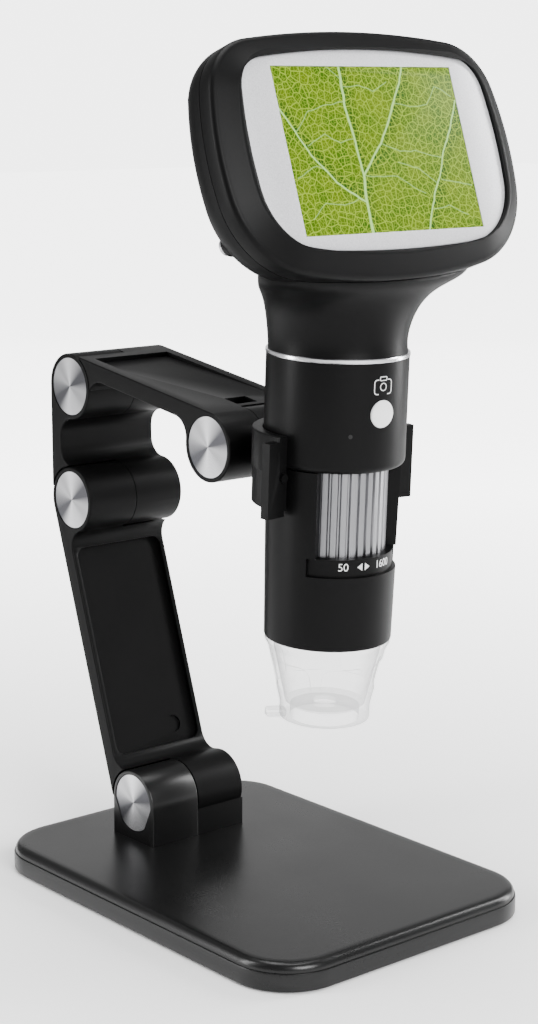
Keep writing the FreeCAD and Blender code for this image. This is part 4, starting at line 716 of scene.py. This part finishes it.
FOOT_LEVEL = -62.4
clear_plastic, clear_shader, clear_place = finish("clear_plastic", (0.86, 0.87, 0.88, 1), 0.04, IOR=1.49)
facing = clear_place.node("ShaderNodeLayerWeight", {"Blend": 0.35}, output=1)
# Painted shade: the base colour darkens towards the edges that are seen edge-on, where the real clear wall
# looks grey.
painted_rim_shade = facing.between(0.25, 0.95)
feed(clear_shader, "Base Color", painted_rim_shade.blend((0.90, 0.90, 0.91, 1), (0.30, 0.30, 0.31, 1)))
feed(clear_shader, "Alpha", facing.between(0.1, 0.9) ** 1.6 * 0.75 + 0.10)

hood_turns = np.linspace(-180, 180, 360, endpoint=False)
RECESSES, RECESS_TURN, RECESS_MIDDLE = 6, -23.0, -50.85
RECESS_HALF, RECESS_CORNER, RECESS_DEPTH = (5.3, 3.85), 2.5, 0.5
WALL_FOOT, CONE_TOP, WALL_TOP = FOOT_LEVEL + 3.6, -44.6, -42.9
WALL_FOOT_RADIUS, CONE_TOP_RADIUS, WALL_RADIUS = 10.9, 14.1, 15.0
COLLAR_RADIUS, COLLAR_INSIDE, COLLAR_TOP, COLLAR_FOOT = 13.85, 12.8, -39.3, -42.1
FOOT_BORE, HOLE_RADIUS = 8.3, 3.1


def hood_outside(heights):
    """Outer radius over height and angle: a cone to a straight ring, less the arched recesses.

    The depth of a recess follows the distance inside a rounded rectangle, through a soft step.
    """
    radii = [WALL_FOOT_RADIUS, CONE_TOP_RADIUS, WALL_RADIUS]
    cone = np.interp(heights, [WALL_FOOT, CONE_TOP, WALL_TOP], radii)
    turn, height = np.meshgrid(hood_turns, heights)
    radius = np.repeat(cone[:, None], len(hood_turns), 1)
    pitch = 360 / RECESSES
    offset = np.mod(turn - RECESS_TURN + pitch / 2, pitch) - pitch / 2
    across = np.abs(radius * np.sin(np.radians(offset))) - RECESS_HALF[0] + RECESS_CORNER
    upward = np.abs(height - RECESS_MIDDLE) - RECESS_HALF[1] + RECESS_CORNER
    past_corner = np.hypot(np.maximum(across, 0), np.maximum(upward, 0))
    outside = past_corner + np.minimum(np.maximum(across, upward), 0)
    depth = np.clip((RECESS_CORNER - outside) / 0.25, 0, 1)
    return on_barrel(radius - RECESS_DEPTH * depth, turn, height)


def hood_ring(radius, height):
    return on_barrel(np.full(len(hood_turns), radius), hood_turns, height)


hood_rings = [hood_ring(HOLE_RADIUS, FOOT_LEVEL + 3.9), hood_ring(9.6, FOOT_LEVEL + 3.9),
              hood_ring(COLLAR_INSIDE, CONE_TOP)]
hood_rings += [hood_ring(COLLAR_INSIDE, COLLAR_TOP), hood_ring(COLLAR_RADIUS, COLLAR_TOP),
               hood_ring(COLLAR_RADIUS, COLLAR_FOOT), hood_ring(WALL_RADIUS, COLLAR_FOOT)]
hood_rings += list(hood_outside(np.linspace(WALL_TOP, WALL_FOOT, 64)))
hood_rings += [hood_ring(WALL_FOOT_RADIUS, FOOT_LEVEL + 0.5), hood_ring(10.75, FOOT_LEVEL + 0.15),
               hood_ring(10.4, FOOT_LEVEL)]
hood_rings += [hood_ring(FOOT_BORE, FOOT_LEVEL), hood_ring(FOOT_BORE, FOOT_LEVEL + 2.9),
               hood_ring(HOLE_RADIUS, FOOT_LEVEL + 2.9)]
hood = skin("hood_skin", hood_rings, clear_plastic, "hood", wrap=True)
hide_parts("clear_hood")

TAB_TURN, TAB_MIDDLE = -120.0, 12.0
tab_out = np.array([math.sin(math.radians(TAB_TURN)), -math.cos(math.radians(TAB_TURN))])
tab_side = np.array([-tab_out[1], tab_out[0]])
tab_loop = round_box_loop(2.45, 2.0, 1.0, 6)
tab_rings = []
for shrink, height in ((0.2, 0.5), (0.0, 0.7), (0.0, 1.9), (0.2, 2.1)):
    loop = inset_loop(tab_loop, shrink)
    flat = (TAB_MIDDLE + loop[:, 0])[:, None] * tab_out + loop[:, 1][:, None] * tab_side
    tab_rings.append(in_scope(np.column_stack([flat, np.full(len(flat), FOOT_LEVEL + height)])))
skin("hood_tab_skin", tab_rings, clear_plastic, "hood")


# The front bezel and the rear housing are two black mouldings that meet at a fine seam round the
# head. A silver panel with a bright edge lies in the bezel, and the screen's glass lies in the panel.

SCREEN_ORIGIN = np.array([0.0, -42.786, 186.391])
SCREEN_UP = np.array([0.0, 0.32293, 0.94642])
SCREEN_OUT = np.array([0.0, -0.94642, 0.32293])
HEAD = (44.35, 28.7, 0.9, 1.9, 14.5, 20.5, -0.6)
PANEL = (37.4, 23.0, 0.6, 0.8, 10.0, 15.0, 0.0)


def in_head(points):
    """Turn points in the screen's own frame, right, up and outwards, into the object's frame."""
    points = np.asarray(points, float)
    right, up, out = (points[..., index, None] for index in range(3))
    return SCREEN_ORIGIN + right * RIGHT + up * SCREEN_UP + out * SCREEN_OUT


def bulged_loop(shape, inset=0.0, per_arc=16):
    """A rounded rectangle with bowed sides: eight arcs that run smoothly into one another.

    Each side's radius follows from its half length L and bulge b as (L*L + b*b) / 2b, and a corner's
    centre is where circles that are smaller by the corner's radius meet about the sides' centres.
    """
    wide, high, side_bulge, end_bulge, top_corner, foot_corner, middle = shape

    def bow(half, bulge):
        return (half ** 2 + bulge ** 2) / (2 * bulge)

    def meet(first, reach_first, second, reach_second, upward):
        gap = np.array(second) - np.array(first)
        length = np.hypot(*gap)
        unit = gap / length
        along = (reach_first ** 2 - reach_second ** 2 + length ** 2) / (2 * length)
        aside = math.sqrt(reach_first ** 2 - along ** 2)
        foot = np.array(first) + along * unit
        square = aside * np.array([-unit[1], unit[0]])
        spots = [foot - square, foot + square]
        return max(spots, key=lambda spot: spot[0] + upward * spot[1])

    def bearing(centre, spot):
        return math.degrees(math.atan2(spot[1] - centre[1], spot[0] - centre[0]))

    top_bow = bow(wide - top_corner, end_bulge)
    foot_bow = bow(wide - foot_corner, end_bulge)
    side_bow = bow(high - (top_corner + foot_corner) / 2, side_bulge)
    top, foot, side = (0.0, high - top_bow), (0.0, foot_bow - high), (wide - side_bow, 0.0)
    upper = meet(top, top_bow - top_corner, side, side_bow - top_corner, 1)
    lower = meet(foot, foot_bow - foot_corner, side, side_bow - foot_corner, -1)
    low, high_turn = bearing(side, lower), bearing(side, upper)
    top_turn, foot_turn = bearing(top, upper), bearing(foot, lower)
    arcs = [
        (side, side_bow, low, high_turn),
        (upper, top_corner, high_turn, top_turn),
        (top, top_bow, top_turn, 180 - top_turn),
        ((-upper[0], upper[1]), top_corner, 180 - top_turn, 180 - high_turn),
        ((-side[0], side[1]), side_bow, 180 - high_turn, 180 - low),
        ((-lower[0], lower[1]), foot_corner, 180 - low, 180 - foot_turn),
        (foot, foot_bow, -180 - foot_turn, foot_turn),
        (lower, foot_corner, foot_turn, low),
    ]
    runs = [arc(centre, radius - inset, start, end, per_arc + 1)[:-1] for centre, radius, start, end in arcs]
    return np.vstack(runs) + (0.0, middle)


def straight_loop(half_wide, half_high, corner, per_arc=16):
    """The same number of points round a rectangle with small corners, side by side with bulged_loop."""
    sx, sy = half_wide - corner, half_high - corner
    step = np.linspace(0, 1, per_arc, endpoint=False)[:, None]
    runs = []
    corners = [(sx, -sy), (sx, sy), (-sx, sy), (-sx, -sy)]
    for index, (centre, following) in enumerate(zip(corners, corners[1:] + corners[:1])):
        out = math.radians(90 * index)
        push = corner * np.array([math.cos(out), math.sin(out)])
        start, end = np.array(centre) + push, np.array(following) + push
        runs.append(start + step * (end - start))
        runs.append(arc(following, corner, 90 * index, 90 * index + 90, per_arc + 1)[:-1])
    return np.vstack(runs)


def head_rings(stages):
    """Rings of the head from stages of loop and level."""
    return [in_head(np.column_stack([loop, np.full(len(loop), level)])) for loop, level in stages]


head_plastic = black_plastic("head_plastic", BLACK, 0.42, 0.3, 0.01)
SIDE_TOP, SIDE_ROUND = -3.3, 1.4
bezel_stages = [(bulged_loop(HEAD, 2.2), -6.6), (bulged_loop(HEAD, 0.18), -6.58),
                (bulged_loop(HEAD, 0.05), -6.5), (bulged_loop(HEAD, 0.0), -6.3),
                (bulged_loop(HEAD, 0.0), SIDE_TOP)]
for turn in np.radians((15, 30, 45, 60, 75)):
    inset, rise = SIDE_ROUND * (1 - math.cos(turn)), SIDE_ROUND * math.sin(turn)
    bezel_stages.append((bulged_loop(HEAD, inset), SIDE_TOP + rise))
bezel_stages += [(bulged_loop(HEAD, 1.6), -1.86), (bulged_loop(HEAD, 5.0), 0.45),
                 (bulged_loop(HEAD, 5.4), 0.6)]
bezel_stages += [(bulged_loop(PANEL, -0.35), 0.6), (bulged_loop(PANEL, -0.18), 0.52),
                 (bulged_loop(PANEL, -0.1), 0.35), (bulged_loop(PANEL, -0.1), -1.0),
                 (bulged_loop(PANEL, 2.0), -1.0), (bulged_loop(PANEL, 2.0), -2.4)]
bezel = skin("bezel_skin", head_rings(bezel_stages), head_plastic, "scope",
             wrap=True, sharp=40.0)
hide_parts("front_bezel")

panel_silver, panel_shader, panel_place = finish("panel_silver", (0.62, 0.62, 0.64, 1), 0.42, Metallic=0.4)
flake = panel_place.node("ShaderNodeTexNoise", {"Vector": panel_place, "Scale": 3500.0, "Detail": 2.0})
feed(panel_shader, "Base Color", flake.between(0.3, 0.7).blend((0.50, 0.50, 0.52, 1), (0.66, 0.66, 0.68, 1)))
feed(panel_shader, "Roughness", flake * 0.12 + 0.38)
bump(panel_shader, flake, 0.01, 0.4)
GLASS = (27.0, 18.9)


def glass_loop(margin, corner):
    """The outline of the picture's glass, widened by a margin."""
    return straight_loop(GLASS[0] + margin, GLASS[1] + margin, corner)


panel_stages = [(bulged_loop(PANEL, 0.0), -1.0), (bulged_loop(PANEL, 0.0), -0.25),
                (bulged_loop(PANEL, 0.1), -0.07), (bulged_loop(PANEL, 0.3), 0.0),
                (glass_loop(0.1, 0.12), 0.0), (glass_loop(0.1, 0.12), -1.0)]
panel = skin("panel_skin", head_rings(panel_stages), panel_silver, "scope",
             wrap=True, sharp=30.0)
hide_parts("screen_panel")

leaf, leaf_shader, leaf_place = finish("leaf_picture", (0.002, 0.002, 0.002, 1), 0.35,
                                       Specular_IOR_Level=0.03, Emission_Strength=1.0)


def along_axis(axis):
    """Place on the screen along one of its axes, in millimetres from its middle."""
    offset = float(np.dot(axis, SCREEN_ORIGIN))
    sockets = {0: leaf_place, 1: tuple(axis)}
    metres = leaf_place.node("ShaderNodeVectorMath", sockets, "Value", operation="DOT_PRODUCT")
    return metres * 1000.0 - offset


def wavering(wire, seed, scale, reach):
    """Move a place in and out by soft noise, so that straight lines on it run unevenly."""
    sockets = {"Vector": leaf_place, "Location": (seed, seed * 2, seed * 3)}
    shift = leaf_place.node("ShaderNodeMapping", sockets)
    noise = leaf_place.node("ShaderNodeTexNoise", {"Vector": shift, "Scale": scale, "Detail": 2.0})
    return wire + (noise - 0.5) * reach


across_leaf = wavering(along_axis(RIGHT), 0.3, 150.0, 1.6)
up_leaf = wavering(along_axis(SCREEN_UP), 0.7, 150.0, 1.6)


def vein(start, end):
    """Distance in millimetres from a straight vein, and how far a point lies to its right."""
    step = np.subtract(end, start)
    length = float(np.hypot(*step))
    right, up = across_leaf - start[0], up_leaf - start[1]
    share = right * (step[0] / length ** 2) + up * (step[1] / length ** 2)
    share = share.math("MINIMUM", 1.0).math("MAXIMUM", 0.0)
    off_right, off_up = right - share * step[0], up - share * step[1]
    away = (off_right * off_right + off_up * off_up) ** 0.5
    side = off_right * (step[1] / length) - off_up * (step[0] / length)
    return away, side


MAIN_VEINS = [
    (0.36, [(-7.4, -20.0), (-7.4, -12.1), (-6.8, -5.8)]),
    (0.28, [(-6.8, -5.8), (-7.1, 0.0), (-7.7, 9.5), (-7.2, 20.0)]),
    (0.22, [(-6.8, -5.8), (0.9, 1.1), (7.1, 10.2), (12.5, 20.0)]),
    (0.20, [(-7.4, -12.1), (-15.0, -7.2), (-20.8, -0.8), (-28.0, 11.0)]),
    (0.20, [(9.0, -20.0), (13.1, -12.5), (19.4, -1.5), (26.9, 11.0)]),
]
SIDE_VEINS = [
    [(-7.7, 10.8), (-13.0, 10.4), (-19.0, 8.7), (-23.5, 4.0)],
    [(0.9, 1.3), (6.0, -0.8), (10.8, -0.4), (18.6, -2.6)],
    [(7.2, 10.4), (12.0, 9.6), (17.4, 10.2), (21.0, 14.5), (25.8, 12.0)],
    [(-6.8, -5.8), (-1.0, -6.2), (3.6, -6.5), (11.4, -10.7)],
    [(16.9, -7.2), (21.0, -8.0), (26.3, -9.0)],
    [(-26.0, -6.0), (-19.5, -3.6), (-17.8, -4.3)],
    [(-7.6, 14.5), (-2.5, 14.6), (1.7, 13.4), (6.0, 15.5)],
    [(-12.0, 20.0), (-7.5, 16.3)],
    [(-7.2, 2.5), (-11.5, 1.6), (-15.4, 3.4), (-21.0, 1.0)],
    [(-9.5, -11.0), (-14.0, -12.6), (-19.5, -11.8), (-24.0, -15.5)],
    [(12.0, -14.5), (17.5, -13.5), (23.0, -16.0)],
    [(15.5, -8.2), (10.0, -4.5), (4.6, -3.2)],
]
glow = None
shade = None
for width, route in MAIN_VEINS:
    for start, end in zip(route, route[1:]):
        away, side = vein(start, end)
        line = 1 - away.between(width * 0.5, width * 1.5)
        near = (1 - away.between(0.0, 3.2)) * side.between(-0.8, 0.6)
        glow = line if glow is None else glow.math("MAXIMUM", line)
        shade = near if shade is None else shade.math("MAXIMUM", near)
for route in SIDE_VEINS:
    for start, end in zip(route, route[1:]):
        away, _ = vein(start, end)
        glow = glow.math("MAXIMUM", (1 - away.between(0.05, 0.20)) * 0.45)

flat_leaf = leaf_place.node("ShaderNodeCombineXYZ", {"X": across_leaf, "Y": up_leaf})
net = None
for cell_mm, line_mm, force in ((1.9, 0.11, 1.0), (0.85, 0.07, 0.6)):
    sockets = {"Vector": flat_leaf, "Scale": 1 / cell_mm}
    edge = leaf_place.node("ShaderNodeTexVoronoi", sockets, feature="DISTANCE_TO_EDGE",
                           voronoi_dimensions="2D")
    lines = (1 - edge.between(line_mm / cell_mm * 0.4, line_mm / cell_mm * 1.6)) * force
    net = lines if net is None else net.math("MAXIMUM", lines)
patches = leaf_place.node("ShaderNodeTexNoise", {"Vector": leaf_place, "Scale": 160.0, "Detail": 3.0})
green = patches.between(0.3, 0.7).blend((0.06, 0.21, 0.001, 1), (0.22, 0.36, 0.001, 1))
green = (shade * 0.9).blend(green, (0.012, 0.11, 0.014, 1))
green = net.blend(green, (0.58, 0.86, 0.05, 1))
green = glow.blend(green, (0.85, 1.5, 0.42, 1))
feed(leaf_shader, "Emission Color", green)
glass_stages = [(glass_loop(1.5, 0.4), -5.0), (glass_loop(1.5, 0.4), -2.45), (glass_loop(0.0, 0.1), -2.4),
                (glass_loop(0.0, 0.1), -0.12), (glass_loop(-0.05, 0.1), -0.1)]
glass = skin("screen_skin", head_rings(glass_stages), leaf, "scope")
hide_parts("lcd_module")

softened("rear_housing", head_plastic, "scope", 0.2, 30.0)


# Screws, pins, nuts and boards sit inside or under the stand; the small inner pieces of the barrel
# show only through the clear hood. Each keeps its solid and takes a finish of its own.


def coat(names, material):
    """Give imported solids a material, which leaves their meshes as they are."""
    for name in names:
        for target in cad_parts[name].material_slots:
            target.material = material


steel, steel_shader, steel_place = finish("zinc_steel", (0.56, 0.56, 0.58, 1), 0.34, Metallic=1.0)
plating = steel_place.node("ShaderNodeTexNoise", {"Vector": steel_place, "Scale": 1400.0, "Detail": 3.0})
feed(steel_shader, "Roughness", plating * 0.2 + 0.24)
feed(steel_shader, "Base Color", plating.blend((0.48, 0.48, 0.50, 1), (0.64, 0.64, 0.66, 1)))

rubber, rubber_shader, rubber_place = finish("pad_rubber", (0.016, 0.016, 0.016, 1), 0.85)
pores = rubber_place.node("ShaderNodeTexNoise", {"Vector": rubber_place, "Scale": 1800.0, "Detail": 3.0})
feed(rubber_shader, "Roughness", pores * 0.15 + 0.78)
bump(rubber_shader, pores, 0.04)

board, board_shader, board_place = finish("board_green", (0.01, 0.09, 0.03, 1), 0.45)
sockets = {"Vector": board_place, "Scale": 900.0}
tracks = board_place.node("ShaderNodeTexVoronoi", sockets, distance="CHEBYCHEV")
traces = tracks.between(0.4, 0.6).blend((0.008, 0.07, 0.025, 1), (0.02, 0.14, 0.05, 1))
feed(board_shader, "Base Color", traces)

foil, foil_shader, foil_place = finish("battery_foil", (0.5, 0.5, 0.52, 1), 0.35, Metallic=0.8)
crease = foil_place.node("ShaderNodeTexNoise", {"Vector": foil_place, "Scale": 300.0, "Detail": 4.0})
feed(foil_shader, "Roughness", crease * 0.2 + 0.25)
bump(foil_shader, crease, 0.1, 0.5)

lens_glass, lens_shader, lens_place = finish("lens_glass", (0.03, 0.03, 0.05, 1), 0.03, Coat_Weight=1.0)
sheen = lens_place.node("ShaderNodeLayerWeight", {"Blend": 0.4}, output=1)
feed(lens_shader, "Base Color", sheen.blend((0.010, 0.012, 0.03, 1), (0.10, 0.05, 0.14, 1)))

lamp_white, lamp_shader, lamp_place = finish("lamp_white", (0.85, 0.84, 0.72, 1), 0.3)
phosphor = lamp_place.node("ShaderNodeTexNoise", {"Vector": lamp_place, "Scale": 900.0})
feed(lamp_shader, "Base Color", phosphor.blend((0.80, 0.80, 0.62, 1), (0.90, 0.88, 0.74, 1)))

coat(["base_pad"], rubber)
coat([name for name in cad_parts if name.endswith(("_pin", "_washer", "_nut", "_screws"))], steel)
coat(["ballast_plate"], steel)
coat(["image_sensor_board", "led_board", "main_board", "switch_board"], board)
coat(["battery"], foil)
coat(["objective_lens"], lens_glass)
coat(["leds"], lamp_white)
coat(["charge_socket", "card_socket", "power_switch", "photo_switch"], steel)
coat(["lens_carriage", "wheel_retainer", "power_button"], arm_plastic)
